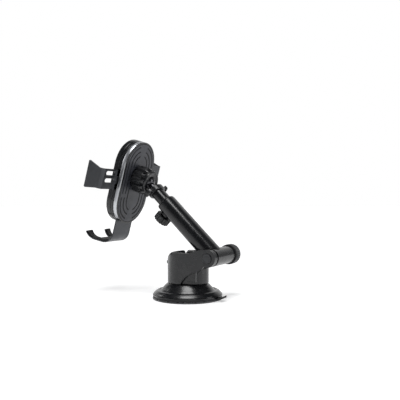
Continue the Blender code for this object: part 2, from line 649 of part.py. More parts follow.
# ---- ball joint, head side -------------------------------------------------------------------------
def cup_arc(radius, start, end, count):
    """Points of a sphere's side, by angle in degrees up from the bottom pole."""
    points = []
    for i in range(count + 1):
        angle = radians(start + (end - start) * i / count)
        points.append((radius * sin(angle), -radius * cos(angle)))
    return points


def build_ball_seats():
    seat_rim = 68
    seat_inner = cup_arc(BALL_R + 0.3 * MM, 0, seat_rim, 6)
    seat_outer = cup_arc(BALL_R + 1.2 * MM, seat_rim, 0, 6)
    turned("ball_seat", seat_inner + seat_outer, NYLON, BALL_FRAME, TO_Y, steps=20)
    cover_inner = cup_arc(BALL_R + 1.6 * MM, 0, 80, 6)
    radius = BALL_R + 2.4 * MM
    turned("seat_cover",
           cover_inner + [(radius, cover_inner[-1][1]), (radius, -radius), (0, -radius)],
           SATIN_BLACK, BALL_FRAME, TO_Y, steps=20)


def build_ball_socket():
    """The threaded spigot on the head's back, round the seats."""
    bore = BALL_R + 2.7 * MM
    outer = BALL_R + 3.9 * MM
    base = -BALL_OUT - 1.3 * MM
    turned("ball_socket",
           [(0, -bore), (bore, -bore), (bore, -1.0 * MM), (outer, -1.0 * MM), (outer, base + 3.0 * MM),
            (12.7 * MM, base + 3.0 * MM), (12.7 * MM, base), (0, base)],
           SATIN_BLACK, BALL_FRAME, TO_Y, steps=32)


def build_ball_nut():
    """A ribbed nut that narrows towards the arm and holds the ball by a round lip."""
    low = -BALL_OUT + 2.0 * MM
    high = 5.6 * MM
    nut = plate("ball_nut", [lobed(15.2 * MM, 1.6 * MM, 12, 6)], (low, -1.0 * MM), SATIN_BLACK, BALL_FRAME,
                TO_Y)
    join(nut, plate("nut_ribs", [lobed(14.6 * MM, 2.8 * MM, 12, 6)], (-1.5 * MM, 3.4 * MM), None,
                    BALL_FRAME, TO_Y))
    envelope = turned("nut_envelope",
                      [(0, 2.8 * MM), (12.6 * MM, 2.8 * MM), (13.7 * MM, 2.0 * MM), (16.0 * MM, -4.0 * MM),
                       (16.0 * MM, low - 1 * MM), (0, low - 1 * MM)], None, BALL_FRAME, TO_Y, steps=27)
    keep_inside(nut, envelope)
    collar = turned("nut_collar",
                    [(0, high), (11.8 * MM, high), (12.7 * MM, 5.1 * MM), (13.1 * MM, 4.3 * MM),
                     (13.1 * MM, 3.2 * MM), (12.5 * MM, 2.0 * MM), (0, 2.0 * MM)],
                    None, BALL_FRAME, TO_Y, steps=32)
    join(nut, collar)
    lip_r = BALL_R + GAP
    opening = 7.0 * MM
    lip_angle = degrees(acos(-sin(acos(opening / lip_r))))
    lip = cup_arc(lip_r, 88, lip_angle, 5)
    bore = turned("nut_bore",
                  [(0, 7.0 * MM), (10.6 * MM, 7.0 * MM), (10.4 * MM, 5.4 * MM), (8.2 * MM, 4.7 * MM)]
                  + lip[::-1]
                  + [(lip[0][0], -0.7 * MM), (12.2 * MM, -0.7 * MM), (12.2 * MM, low - 1 * MM),
                     (0, low - 1 * MM)], None, BALL_FRAME, TO_Y, steps=28)
    cut(nut, bore)


# ---- head shells -----------------------------------------------------------------------------------
def head_outline(inset):
    return stadium(HEAD_L - inset, HEAD_W - inset)


def post_places():
    across, along = POST
    return [(across, along), (-across, along), (-across, -along), (across, -along)]


def wing_spans(side, span):
    """A height span of the right wing, or of the left one, which is turned half round the ball."""
    if side > 0:
        return span
    return (2 * BALL_UP - span[1], 2 * BALL_UP - span[0])


def build_rear_housing():
    """The rear shell: its front band is full size, its middle is set in under the trim, and a lip
    at the back frames the panel."""
    band = TRIM_D[0] - 0.35 * MM
    housing = face_plate("rear_housing", [head_outline(0)], (-9.0 * MM, band), GLOSS_BLACK, HEAD_FRAME)
    join(housing, face_plate("rear_core", [head_outline(1.3 * MM)], (band - 0.2 * MM, -0.7 * MM), None,
                             HEAD_FRAME))
    join(housing, face_plate("rear_lip", [head_outline(0.2 * MM)], (TRIM_D[1] + 0.3 * MM, -0.2 * MM), None,
                             HEAD_FRAME))
    cut(housing, face_plate("panel_recess", [head_outline(2.1 * MM)], (FLOOR_D[1], 1 * MM), None,
                            HEAD_FRAME))
    cut(housing, face_plate("rear_cavity", [head_outline(2.2 * MM)], (-10 * MM, FLOOR_D[0]), None,
                            HEAD_FRAME))
    for side, name in ((1, "right"), (-1, "left")):
        low, high = wing_spans(side, WING_V)
        cut(housing, box("wing_gap_" + name, sorted((0, side * 40 * MM)), (-10 * MM, WING_D[1] + 0.75 * MM),
                         (low - 0.6 * MM, high + 0.6 * MM), None, HEAD_FRAME))
    cut(housing, box("foot_gap", (-FOOT_HALF - 0.4 * MM, FOOT_HALF + 0.4 * MM),
                     (PLATE_D[0] - 0.4 * MM, PLATE_D[1] + 0.4 * MM), (-50 * MM, -30 * MM), None,
                     HEAD_FRAME))
    for i, (x, z) in enumerate(post_places()):
        cut(housing, rod("head_screw_seat_%d" % (i + 1), 2.2 * MM, (-2.6 * MM, 0), None, HEAD_FRAME, TO_Y,
                         (x, 0, z), sides=16))
        cut(housing, rod("head_screw_hole_%d" % (i + 1), 1.1 * MM, (-5 * MM, 0), None, HEAD_FRAME, TO_Y,
                         (x, 0, z), sides=12))


def build_front_housing():
    housing = face_plate("front_housing", [head_outline(0)], FRONT_D, GLOSS_BLACK, HEAD_FRAME)
    bevel(housing, 0.8 * MM, 1, 60)
    cut(housing, face_plate("front_cavity", [head_outline(2.2 * MM)], (-13.4 * MM, -8 * MM), None,
                            HEAD_FRAME))
    for i, (x, z) in enumerate(post_places()):
        join(housing, rod("post_%d" % (i + 1), 2.3 * MM, (-14 * MM, FLOOR_D[0] - GAP), None, HEAD_FRAME,
                          TO_Y, (x, 0, z), sides=16))
        cut(housing, rod("post_bore_%d" % (i + 1), 1.1 * MM, (-10.5 * MM, 0), None, HEAD_FRAME,
                         TO_Y, (x, 0, z), sides=12))
        turned("housing_screw_%d" % (i + 1),
               [(0, -1.8 * MM), (1.9 * MM, -1.8 * MM), (1.9 * MM, -2.3 * MM), (0.8 * MM, -2.3 * MM),
                (0.8 * MM, -10.0 * MM), (0, -10.0 * MM)], STEEL, HEAD_FRAME, TO_Y, (x, 0, z), steps=10)


def build_head_covers():
    hole = circle((0, BALL_UP), 13.1 * MM, 32)
    face_plate("back_panel", [head_outline(2.4 * MM), hole], (FLOOR_D[1] + GAP, 0), MATT_GREY, HEAD_FRAME)
    trim = face_plate("trim_ring", [head_outline(0.1 * MM), head_outline(1.0 * MM)], TRIM_D, CHROME,
                      HEAD_FRAME)
    foot_room = FOOT_HALF + 0.8 * MM
    cut(trim, box("trim_gap", (-foot_room, foot_room), (-8 * MM, 1 * MM), (-50 * MM, -30 * MM), None,
                  HEAD_FRAME))
    pad = face_plate("front_pad", [head_outline(3.0 * MM)], (FACE_D, FRONT_D[0] - GAP), RUBBER, HEAD_FRAME)
    bevel(pad, 0.4 * MM, 1, 60)


# ---- wings -----------------------------------------------------------------------------------------
def wing_path(side):
    """The wing's outer line in plan, as (across, depth): the plate, the bend and the jaw."""
    bend = 4.5 * MM
    outer = WING_D[1]
    corner = arc((WING_BEND - bend, outer - bend), bend, 90, 8, 6)
    lean = 3.2 * MM
    path = [(30 * MM, outer)] + corner + [(WING_BEND + 0.6 * lean, 0.35 * outer + 0.65 * JAW_TIP_D),
                                          (WING_BEND + lean, JAW_TIP_D)]
    return [(side * x, y) for x, y in path]


def flare_jaw(obj, side, span):
    """Widens the jaw towards its tip, more on its outer end than on the one near the ball."""
    start = -12 * MM
    middle = 0.5 * (span[0] + span[1])
    more, less = 5.4 * MM, 2.6 * MM
    for vertex in obj.data.vertices:
        depth = vertex.co.y
        share = max(0.0, (start - depth) / (start - JAW_TIP_D))
        upper = vertex.co.z > middle
        grow = more if upper == (side > 0) else less
        vertex.co.z += share * grow * (1 if upper else -1)


def build_wing(side, name):
    thick = WING_D[1] - WING_D[0]
    shift = -thick if side > 0 else 0.0
    span = wing_spans(side, WING_V)
    wing = plate("wing_" + name, [ribbon(wing_path(side), thick, shift)], span, GREY_METAL, HEAD_FRAME)
    flare_jaw(wing, side, span)
    arm_v = wing_spans(side, ARM_V)
    reach = sorted((side * 12 * MM, side * 31 * MM))
    join(wing, box("wing_arm_" + name, reach, WING_D, arm_v, None, HEAD_FRAME))
    for i, height in enumerate(wing_spans(side, (0.3 * MM, 8.3 * MM))):
        window = slot((side * 35.6 * MM, height), (side * 46.8 * MM, height), 2.3 * MM, 4)
        cut(wing, face_plate("window_%s_%d" % (name, i + 1), [window], (-12 * MM, -4 * MM), None, HEAD_FRAME))
    pin_x, pin_v = side * 17 * MM, 0.5 * (arm_v[0] + arm_v[1])
    cut(wing, rod("pin_hole_" + name, 1.8 * MM, (-10 * MM, -5 * MM), None, HEAD_FRAME, TO_Y,
                  (pin_x, 0, pin_v), sides=16))
    rod("wing_pin_" + name, 1.5 * MM, (WING_D[0] + 0.1 * MM, PLATE_D[1] + 0.3 * MM), STEEL, HEAD_FRAME,
        TO_Y, (pin_x, 0, pin_v), sides=16)
    pad_path = wing_path(side)[7:]
    pad_path = [(pad_path[0][0], -10.6 * MM)] + pad_path[1:]
    pad_shift = (thick + GAP) * (-1 if side > 0 else 1)
    pad_thick = 1.4 * MM
    outline = ribbon(pad_path, pad_thick, pad_shift - pad_thick if side > 0 else pad_shift)
    plate("jaw_pad_" + name, [outline], (span[0] + 1.5 * MM, span[1] - 1.5 * MM), RUBBER, HEAD_FRAME)


def build_wings():
    build_wing(1, "right")
    build_wing(-1, "left")


# ---- foot ------------------------------------------------------------------------------------------
def foot_path():
    """The foot's rear and lower line in side view, as (depth, height): plate, bend, shelf, prongs."""
    bend, curl_r = 13.0 * MM, 14.0 * MM
    shelf = -73.5 * MM
    rear = PLATE_D[1]
    corner = arc((rear - bend, shelf + bend), bend, 0, -90, 8)
    curl = arc((-26.0 * MM, shelf + curl_r), curl_r, -90, -150, 7)
    return corner + curl


def spread(half, depth):
    """The half width, at a depth, of an edge that spreads outwards along the fork."""
    start, end, share = FOOT_FLARE
    return half * (1 + share * min(1.0, max(0.0, (start - depth) / (start - end))))


def shape_fork(obj, name, half, notch_half, notch_start):
    """Cuts the shelf into two arms that spread apart towards their tips."""
    start, end, _ = FOOT_FLARE
    far, near, wide = -60 * MM, 5 * MM, 40 * MM
    span = (-90 * MM, -50 * MM)
    tip = spread(half, end)
    for side, word in ((1, "right"), (-1, "left")):
        flank = [(side * half, near), (side * half, start), (side * tip, end), (side * tip, far),
                 (side * wide, far), (side * wide, near)]
        cut(obj, plate(name + "_flank_" + word, [flank], span, None, HEAD_FRAME))
    root, mouth = spread(notch_half, notch_start), spread(notch_half, end)
    notch = [(-root, notch_start), (-mouth, end), (-mouth, far), (mouth, far), (mouth, end),
             (root, notch_start)]
    cut(obj, plate(name + "_notch", [notch], span, None, HEAD_FRAME))


def build_foot():
    thick = PLATE_D[1] - PLATE_D[0]
    path = [(PLATE_D[1], 32 * MM)] + foot_path()
    outline = ribbon(path, thick, -thick)
    upper_half, wide_half = FOOT_INNER
    blank = 26 * MM
    foot = side_plate("foot", [outline], (-blank, blank), GREY_METAL, HEAD_FRAME)
    low, high = FOOT_WIDE_V
    for side, name in ((1, "right"), (-1, "left")):
        cut(foot, box("foot_trim_" + name, sorted((side * FOOT_HALF, side * 30 * MM)), (-60 * MM, 0),
                      (-52 * MM, low), None, HEAD_FRAME))
        cut(foot, box("foot_slot_trim_" + name, sorted((side * wide_half, side * 30 * MM)), (-60 * MM, 0),
                      (low - 1 * MM, high + 1 * MM), None, HEAD_FRAME))
        cut(foot, box("foot_upper_trim_" + name, sorted((side * upper_half, side * 30 * MM)),
                      (-60 * MM, 0), (high, 40 * MM), None, HEAD_FRAME))
    shape_fork(foot, "foot", FOOT_HALF, NOTCH_HALF, -24 * MM)
    for side, name in ((1, "right"), (-1, "left")):
        pin_v = 0.5 * sum(wing_spans(side, ARM_V))
        start = (side * 17 * MM, pin_v)
        end = (side * (17 * MM - FOOT_TRAVEL), pin_v + FOOT_TRAVEL)
        cut(foot, face_plate("foot_slot_" + name, [slot(start, end, 1.9 * MM)], (-8 * MM, -3 * MM), None,
                             HEAD_FRAME))
    pad_path = foot_path()[5:]
    pad_outline = ribbon(pad_path, 1.5 * MM, -thick - GAP - 1.5 * MM)
    pad = side_plate("foot_pad", [pad_outline], (-blank, blank), RUBBER, HEAD_FRAME)
    shape_fork(pad, "pad", FOOT_HALF - 1 * MM, NOTCH_HALF + 1 * MM, -23 * MM)
    turns, per_turn = 6, 8
    low, high = 33.2 * MM, 43.6 * MM
    count = turns * per_turn
    middle = 0.5 * (PLATE_D[0] + PLATE_D[1])
    points = []
    for i in range(count + 1):
        angle = 2 * pi * i / per_turn
        points.append((1.5 * MM * cos(angle), middle + 1.5 * MM * sin(angle), low + (high - low) * i / count))
    wire("return_spring", points, 0.3 * MM, STEEL, HEAD_FRAME, 0)


def build_all():
    build_pads()
    build_base_shells()
    build_neck_screws()
    build_stem()
    build_neck_bracket()
    build_lock_lever()
    build_hinge()
    build_arm_barrel()
    build_outer_tube()
    build_tube_bushing()
    build_thumb_screw()
    build_inner_tube()
    build_cable_clip()
    build_ball_stud()
    build_ball_seats()
    build_ball_socket()
    build_ball_nut()
    build_rear_housing()
    build_front_housing()
    build_head_covers()
    build_wings()
    build_foot()
    bpy.context.view_layer.update()


build_all()
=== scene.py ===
"""Looks of the car phone mount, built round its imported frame. Shapes are in millimetres in the frame
of the body they belong to, and are carried into the row frame (metres) when a piece is made."""

import json
from math import acos, asin, atan2, cos, degrees, hypot, pi, radians, sin

import bmesh
import bpy
from mathutils import Euler, Matrix, Vector


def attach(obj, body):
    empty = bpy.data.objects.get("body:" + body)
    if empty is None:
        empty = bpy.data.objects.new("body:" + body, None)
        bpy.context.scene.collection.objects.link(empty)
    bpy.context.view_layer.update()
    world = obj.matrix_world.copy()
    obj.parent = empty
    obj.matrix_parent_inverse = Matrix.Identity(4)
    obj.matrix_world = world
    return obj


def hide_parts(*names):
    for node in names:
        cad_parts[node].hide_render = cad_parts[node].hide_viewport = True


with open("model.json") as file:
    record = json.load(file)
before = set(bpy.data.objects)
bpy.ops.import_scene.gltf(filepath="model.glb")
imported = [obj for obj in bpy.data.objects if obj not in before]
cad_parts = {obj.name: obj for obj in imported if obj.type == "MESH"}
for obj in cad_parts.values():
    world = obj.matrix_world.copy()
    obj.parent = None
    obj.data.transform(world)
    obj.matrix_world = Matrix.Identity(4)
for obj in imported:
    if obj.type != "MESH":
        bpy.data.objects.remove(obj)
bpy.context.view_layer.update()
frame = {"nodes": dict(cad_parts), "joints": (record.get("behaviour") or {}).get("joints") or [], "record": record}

MM = 0.001
WELD = 0.0005
SCENE = bpy.context.scene
JOINTS = {joint["name"]: joint for joint in frame["joints"]}


# ---- frames ----------------------------------------------------------------------------------------
def frame_at(origin, back, up):
    """A millimetre frame: local Y is `back`, local Z is `up`."""
    back, up = Vector(back).normalized(), Vector(up).normalized()
    across = back.cross(up)
    matrix = Matrix((across, back, up)).transposed().to_4x4() @ Matrix.Scale(MM, 4)
    matrix.translation = Vector(origin)
    return matrix


HINGE = Vector(JOINTS["arm_tilt"]["pos_m"])
ARM_DIR = Vector(JOINTS["arm_slide"]["axis"])
BALL = Vector(JOINTS["head_nod"]["pos_m"])
HEAD_BACK = Vector(JOINTS["head_spin"]["axis"])
HEAD_UP = Vector(JOINTS["head_turn"]["axis"])
BALL_OUT = 14.3
BALL_UP = 5.8
ACROSS = Vector((1, 0, 0))

BASE_F = Matrix.Scale(MM, 4)
HINGE_F = frame_at(HINGE, (0, 1, 0), (0, 0, 1))
ARM_F = frame_at(HINGE, ARM_DIR.cross(ACROSS), ARM_DIR)
BALL_F = frame_at(BALL, HEAD_BACK, HEAD_UP)
HEAD_F = frame_at(BALL - HEAD_BACK * BALL_OUT * MM - HEAD_UP * BALL_UP * MM, HEAD_BACK, HEAD_UP)

ALONG_Z = (0.0, 0.0, 0.0)
TO_X = (0.0, pi / 2, 0.0)
TO_Y = (-pi / 2, 0.0, 0.0)
SIDE_PLATE = (pi / 2, 0.0, pi / 2)
FACE_PLATE = (pi / 2, 0.0, 0.0)


# ---- materials -------------------------------------------------------------------------------------
class Nodes:
    """A short way to write one material's node tree."""

    def __init__(self, name):
        self.mat = bpy.data.materials.new(name)
        self.mat.use_nodes = True
        self.tree = self.mat.node_tree
        self.shader = self.tree.nodes["Principled BSDF"]
        self.coords = self.tree.nodes.new("ShaderNodeTexCoord").outputs["Object"]

    def link(self, source, target):
        self.tree.links.new(source, target)

    def noise(self, scale, detail=3.0, stretch=None, distortion=0.0):
        node = self.tree.nodes.new("ShaderNodeTexNoise")
        node.inputs["Scale"].default_value = scale
        node.inputs["Detail"].default_value = detail
        node.inputs["Distortion"].default_value = distortion
        source = self.coords
        if stretch is not None:
            mapping = self.tree.nodes.new("ShaderNodeMapping")
            mapping.inputs["Rotation"].default_value = stretch[0]
            mapping.inputs["Scale"].default_value = stretch[1]
            self.link(source, mapping.inputs["Vector"])
            source = mapping.outputs["Vector"]
        self.link(source, node.inputs["Vector"])
        return node.outputs["Fac"]

    def remap(self, source, low, high, to_low, to_high):
        node = self.tree.nodes.new("ShaderNodeMapRange")
        self.link(source, node.inputs["Value"])
        for socket, value in (("From Min", low), ("From Max", high), ("To Min", to_low), ("To Max", to_high)):
            node.inputs[socket].default_value = value
        return node.outputs["Result"]

    def math(self, operation, first, second):
        node = self.tree.nodes.new("ShaderNodeMath")
        node.operation = operation
        for socket, value in zip(node.inputs, (first, second)):
            if isinstance(value, (int, float)):
                socket.default_value = value
            else:
                self.link(value, socket)
        return node.outputs["Value"]

    def mix(self, factor, first, second):
        node = self.tree.nodes.new("ShaderNodeMix")
        node.data_type = "RGBA"
        self.link(factor, node.inputs["Factor"])
        for socket, value in ((node.inputs[6], first), (node.inputs[7], second)):
            if isinstance(value, tuple):
                socket.default_value = (*value, 1.0)
            else:
                self.link(value, socket)
        return node.outputs[2]

    def bump(self, height, distance, strength=1.0, under=None):
        node = self.tree.nodes.new("ShaderNodeBump")
        node.inputs["Distance"].default_value = distance
        node.inputs["Strength"].default_value = strength
        self.link(height, node.inputs["Height"])
        if under is not None:
            self.link(under, node.inputs["Normal"])
        return node.outputs["Normal"]

    def geometry(self, output):
        return self.tree.nodes.new("ShaderNodeNewGeometry").outputs[output]


RUBBED_PLASTIC = (0.20, 0.205, 0.215)
RUBBED_METAL = (0.80, 0.80, 0.81)
DUST_TONE = (0.55, 0.53, 0.50)
IOR = 1.5


def shade(colour, factor):
    return tuple(min(1.0, c * factor) for c in colour)


def surface(name, colour, rough, metallic=0.0, grain=(2600, 0.000004), wave=0.0, smear=0.06, tone=0.12,
            scratch=0.10, edge=0.15, dust=0.015, brushed=None):
    """One finish: tone and roughness vary softly, fine grain and a slow wave stand in relief, thin
    scratches and rubbed spots catch the light, and a little dust lies on what faces up."""
    n = Nodes(name)
    shader = n.shader
    slow = n.noise(70, 4)
    tint = n.mix(n.remap(slow, 0.3, 0.7, 0, 1), shade(colour, 1 - tone), shade(colour, 1 + tone))
    rubbed = n.remap(n.noise(110, 7, distortion=1.2), 0.60, 0.78, 0, edge * 0.2)
    tint = n.mix(rubbed, tint, RUBBED_PLASTIC if metallic < 0.5 else RUBBED_METAL)
    split = n.tree.nodes.new("ShaderNodeSeparateXYZ")
    n.link(n.geometry("Normal"), split.inputs[0])
    facing = n.remap(split.outputs["Z"], 0.35, 1.0, 0, 1)
    specks = n.remap(n.noise(900, 6), 0.45, 0.75, 0.2, 1)
    dusty = n.math("MULTIPLY", n.math("MULTIPLY", facing, specks), dust)
    tint = n.mix(dusty, tint, DUST_TONE)
    n.link(tint, shader.inputs["Base Color"])
    smears = n.remap(n.noise(140, 8, distortion=0.7), 0.35, 0.65, rough - smear, rough + smear)
    lines = n.remap(n.noise(420, 2, ((0.5, 0.3, 0.9), (1, 22, 1))), 0.70, 0.76, 0, scratch)
    rough_all = n.math("ADD", n.math("ADD", smears, lines), n.math("MULTIPLY", dusty, 2.0))
    n.link(n.remap(rough_all, 0, 1, 0.02, 1.0), shader.inputs["Roughness"])
    normal = None
    if wave > 0:
        normal = n.bump(n.noise(60, 1), wave, 1.0)
    if brushed is not None:
        streaks = n.noise(500, 3, ((0, 0, 0), brushed))
        normal = n.bump(streaks, 0.00001, 0.6, normal)
    normal = n.bump(n.noise(grain[0], 3), grain[1], 1.0, normal)
    n.link(normal, shader.inputs["Normal"])
    shader.inputs["Metallic"].default_value = metallic
    shader.inputs["IOR"].default_value = IOR
    return n.mat


GLOSS = surface("gloss_black_plastic", (0.004, 0.0044, 0.0055), 0.24, wave=0.00002, grain=(1500, 0.000001),
                smear=0.03, scratch=0.05, edge=0.05, dust=0.006)
SATIN = surface("satin_black_plastic", (0.009, 0.0095, 0.011), 0.28, grain=(3200, 0.000004), edge=0.10)
LEVER = surface("satin_lever_plastic", (0.009, 0.0095, 0.011), 0.27, grain=(3600, 0.000004), edge=0.08)
KNOB = surface("grey_knob_plastic", (0.020, 0.021, 0.024), 0.38, grain=(3200, 0.000005), edge=0.20)
PANEL = surface("matt_grey_plastic", (0.026, 0.028, 0.036), 0.42, grain=(2600, 0.000010), edge=0.10)
# painted shade: near-black finish for the sheets laid in the back panel's grooves, darkening the recesses as shade
# would
GROOVE_SHADE_FINISH = surface("painted_groove_shade_black", (0.002, 0.002, 0.002), 0.65, grain=(2600, 0.000005), edge=0.0, dust=0.0)
RUBBER = surface("black_rubber", (0.012, 0.012, 0.013), 0.60, grain=(1800, 0.000020), edge=0.10, tone=0.2)
GEL = surface("dark_gel", (0.055, 0.056, 0.060), 0.28, grain=(700, 0.000020), edge=0.05, tone=0.2)
CHROME = surface("bright_trim", (0.50, 0.51, 0.53), 0.34, 1.0, grain=(1500, 0.000001), tone=0.04, edge=0.1,
                 dust=0.01, smear=0.03)
METAL = surface("grey_metal", (0.060, 0.062, 0.067), 0.32, 0.85, grain=(3000, 0.000005), edge=0.25, tone=0.10)
STEEL = surface("steel", (0.56, 0.56, 0.58), 0.24, 1.0, brushed=(1, 1, 30), edge=0.15, dust=0.01)
BALL_STEEL = surface("dark_ball_steel", (0.06, 0.06, 0.065), 0.22, 0.9, brushed=(1, 30, 1), edge=0.1)
NYLON = surface("white_nylon", (0.58, 0.58, 0.56), 0.48, grain=(1600, 0.000010), edge=0.02)
SLOT_FINISH = {"gel": GEL, "rubber": RUBBER, "gloss_black": GLOSS, "satin_black": SATIN, "matt_grey": PANEL,
               "bright_trim": CHROME, "grey_metal": METAL, "steel": STEEL, "nylon": NYLON}


# ---- shapes ----------------------------------------------------------------------------------------
def shape(mesh, turn=ALONG_Z, at=(0, 0, 0)):
    obj = bpy.data.objects.new("shape", mesh)
    SCENE.collection.objects.link(obj)
    mesh.transform(Matrix.Translation(at) @ Euler(turn).to_matrix().to_4x4())
    return obj


def baked(obj):
    """Makes a welded mesh from an object's evaluated one."""
    bpy.context.view_layer.update()
    mesh = bpy.data.meshes.new_from_object(obj.evaluated_get(bpy.context.evaluated_depsgraph_get()))
    return weld(mesh)


def weld(mesh):
    bm = bmesh.new()
    bm.from_mesh(mesh)
    bmesh.ops.remove_doubles(bm, verts=bm.verts, dist=WELD)
    bmesh.ops.recalc_face_normals(bm, faces=bm.faces)
    bm.to_mesh(mesh)
    bm.free()
    return mesh


def drop(obj):
    bpy.data.objects.remove(obj, do_unlink=True)


def combine(obj, other, operation):
    modifier = obj.modifiers.new("op", "BOOLEAN")
    modifier.operation = operation
    modifier.solver = "EXACT"
    modifier.object = other
    mesh = baked(obj)
    obj.modifiers.clear()
    obj.data = mesh
    drop(other)
    return obj


def fuse(obj, *others):
    for other in others:
        combine(obj, other, "UNION")
    return obj


def carve(obj, *others):
    for other in others:
        combine(obj, other, "DIFFERENCE")
    return obj


def common(obj, other):
    return combine(obj, other, "INTERSECT")


def soft_edges(obj, width, segments=3, angle=35):
    modifier = obj.modifiers.new("bevel", "BEVEL")
    modifier.width = width
    modifier.segments = segments
    modifier.limit_method = "ANGLE"
    modifier.angle_limit = radians(angle)
    modifier.use_clamp_overlap = True
    mesh = baked(obj)
    obj.modifiers.clear()
    obj.data = mesh
    return obj


def plate(outlines, span, edge=0.0, turn=ALONG_Z, at=(0, 0, 0)):
    """A flat plate from an outline and its holes, with rounded edges of radius `edge`."""
    curve = bpy.data.curves.new("outline", "CURVE")
    curve.dimensions = "2D"
    curve.fill_mode = "BOTH"
    curve.extrude = 0.5 * (span[1] - span[0]) - edge
    curve.bevel_depth = edge
    curve.bevel_resolution = 3
    curve.offset = -edge
    for outline in outlines:
        spline = curve.splines.new("POLY")
        spline.points.add(len(outline) - 1)
        for point, (x, y) in zip(spline.points, outline):
            point.co = (x, y, 0.0, 1.0)
        spline.use_cyclic_u = True
    holder = bpy.data.objects.new("outline", curve)
    SCENE.collection.objects.link(holder)
    mesh = baked(holder)
    drop(holder)
    mesh.transform(Matrix.Translation((0, 0, 0.5 * (span[0] + span[1]))))
    return shape(mesh, turn, at)


def side_plate(outlines, x_span, edge=0.0):
    return plate(outlines, x_span, edge, SIDE_PLATE)


def face_plate(outlines, depth, edge=0.0):
    return plate(outlines, (-depth[1], -depth[0]), edge, FACE_PLATE)


def turned(profile, turn=ALONG_Z, at=(0, 0, 0), steps=96, ring=False):
    mesh = bpy.data.meshes.new("turned")
    edges = [(i, i + 1) for i in range(len(profile) - 1)]
    if ring:
        edges.append((len(profile) - 1, 0))
    mesh.from_pydata([(r, 0.0, z) for r, z in profile], edges, [])
    holder = bpy.data.objects.new("turned", mesh)
    SCENE.collection.objects.link(holder)
    screw = holder.modifiers.new("turn", "SCREW")
    screw.steps = steps
    screw.render_steps = steps
    screw.use_merge_vertices = True
    screw.merge_threshold = WELD
    made = baked(holder)
    drop(holder)
    return shape(made, turn, at)


def rod(radius, span, turn=ALONG_Z, at=(0, 0, 0), sides=48):
    bm = bmesh.new()
    bmesh.ops.create_cone(bm, cap_ends=True, segments=sides, radius1=radius, radius2=radius,
                          depth=span[1] - span[0])
    bmesh.ops.translate(bm, verts=bm.verts, vec=(0, 0, 0.5 * (span[0] + span[1])))
    mesh = bpy.data.meshes.new("rod")
    bm.to_mesh(mesh)
    bm.free()
    return shape(mesh, turn, at)


def block(x_span, y_span, z_span):
    bm = bmesh.new()
    bmesh.ops.create_cube(bm, size=1.0)
    spans = (x_span, y_span, z_span)
    bmesh.ops.scale(bm, verts=bm.verts, vec=[s[1] - s[0] for s in spans])
    bmesh.ops.translate(bm, verts=bm.verts, vec=[0.5 * (s[0] + s[1]) for s in spans])
    mesh = bpy.data.meshes.new("block")
    bm.to_mesh(mesh)
    bm.free()
    return shape(mesh)


def piece(name, obj, body, mat, nodes=(), into=BASE_F, sharp=32):
    """Carries a finished shape into the row frame and makes it ride on its body."""
    mesh = obj.data
    mesh.transform(into)
    obj.name = name
    mesh.name = name
    mesh.materials.clear()
    mesh.materials.append(mat)
    mesh.shade_smooth()
    mesh.set_sharp_from_angle(angle=radians(sharp))
    normals = obj.modifiers.new("normals", "WEIGHTED_NORMAL")
    normals.keep_sharp = True
    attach(obj, body)
    if nodes:
        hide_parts(*nodes)
    return obj


# ---- outlines --------------------------------------------------------------------------------------
def arc(centre, radius, start, end, count):
    steps = [radians(start + (end - start) * i / count) for i in range(count + 1)]
    return [(centre[0] + radius * cos(a), centre[1] + radius * sin(a)) for a in steps]


def circle(centre, radius, count=96):
    return arc(centre, radius, 0, 360 - 360 / count, count - 1)


OVAL_POWER = 2.4


def oval(half_sizes, count=128):
    """A superellipse."""
    power = 2 / OVAL_POWER
    points = []
    for i in range(count):
        c, s = cos(2 * pi * i / count), sin(2 * pi * i / count)
        x = half_sizes[0] * abs(c) ** power * (1 if c >= 0 else -1)
        y = half_sizes[1] * abs(s) ** power * (1 if s >= 0 else -1)
        points.append((x, y))
    return points


def long_hole(start, end, radius, count=10):
    heading = degrees(atan2(end[1] - start[1], end[0] - start[0]))
    return (arc(end, radius, heading - 90, heading + 90, count)
            + arc(start, radius, heading + 90, heading + 270, count))


def rectangle(x0, x1, y0, y1):
    return [(x0, y0), (x1, y0), (x1, y1), (x0, y1)]


def lobed(radius, depth, lobes, per_lobe=16, sharp=2.0):
    points = []
    for i in range(lobes * per_lobe):
        angle = 2 * pi * i / (lobes * per_lobe)
        dip = (0.5 - 0.5 * cos(lobes * angle)) ** sharp
        reach = radius - depth * dip
        points.append((reach * cos(angle), reach * sin(angle)))
    return points


def soften(points, radius, closed=False, count=4):
    """Rounds each corner of a line of points."""
    made = []
    last = len(points) - 1
    for i, point in enumerate(points):
        if not closed and i in (0, last):
            made.append(point)
            continue
        p = Vector(point)
        a = Vector(points[i - 1]) - p
        b = Vector(points[(i + 1) % len(points)]) - p
        reach_a = min(radius, 0.45 * a.length)
        reach_b = min(radius, 0.45 * b.length)
        start, end = p + a.normalized() * reach_a, p + b.normalized() * reach_b
        for k in range(count + 1):
            t = k / count
            q = start * (1 - t) ** 2 + p * 2 * t * (1 - t) + end * t * t
            made.append((q.x, q.y))
    return made


def flow(points, per=6):
    """A smooth line through points (Catmull-Rom)."""
    pts = [Vector(p) for p in points]
    pts = [pts[0] * 2 - pts[1]] + pts + [pts[-1] * 2 - pts[-2]]
    made = []
    for i in range(1, len(pts) - 2):
        p0, p1, p2, p3 = pts[i - 1:i + 3]
        for k in range(per):
            t = k / per
            q = 0.5 * (p1 * 2 + (p2 - p0) * t + (p0 * 2 - p1 * 5 + p2 * 4 - p3) * t * t
                       + (p1 * 3 - p0 - p2 * 3 + p3) * t ** 3)
            made.append((q.x, q.y))
    made.append((pts[-2].x, pts[-2].y))
    return made


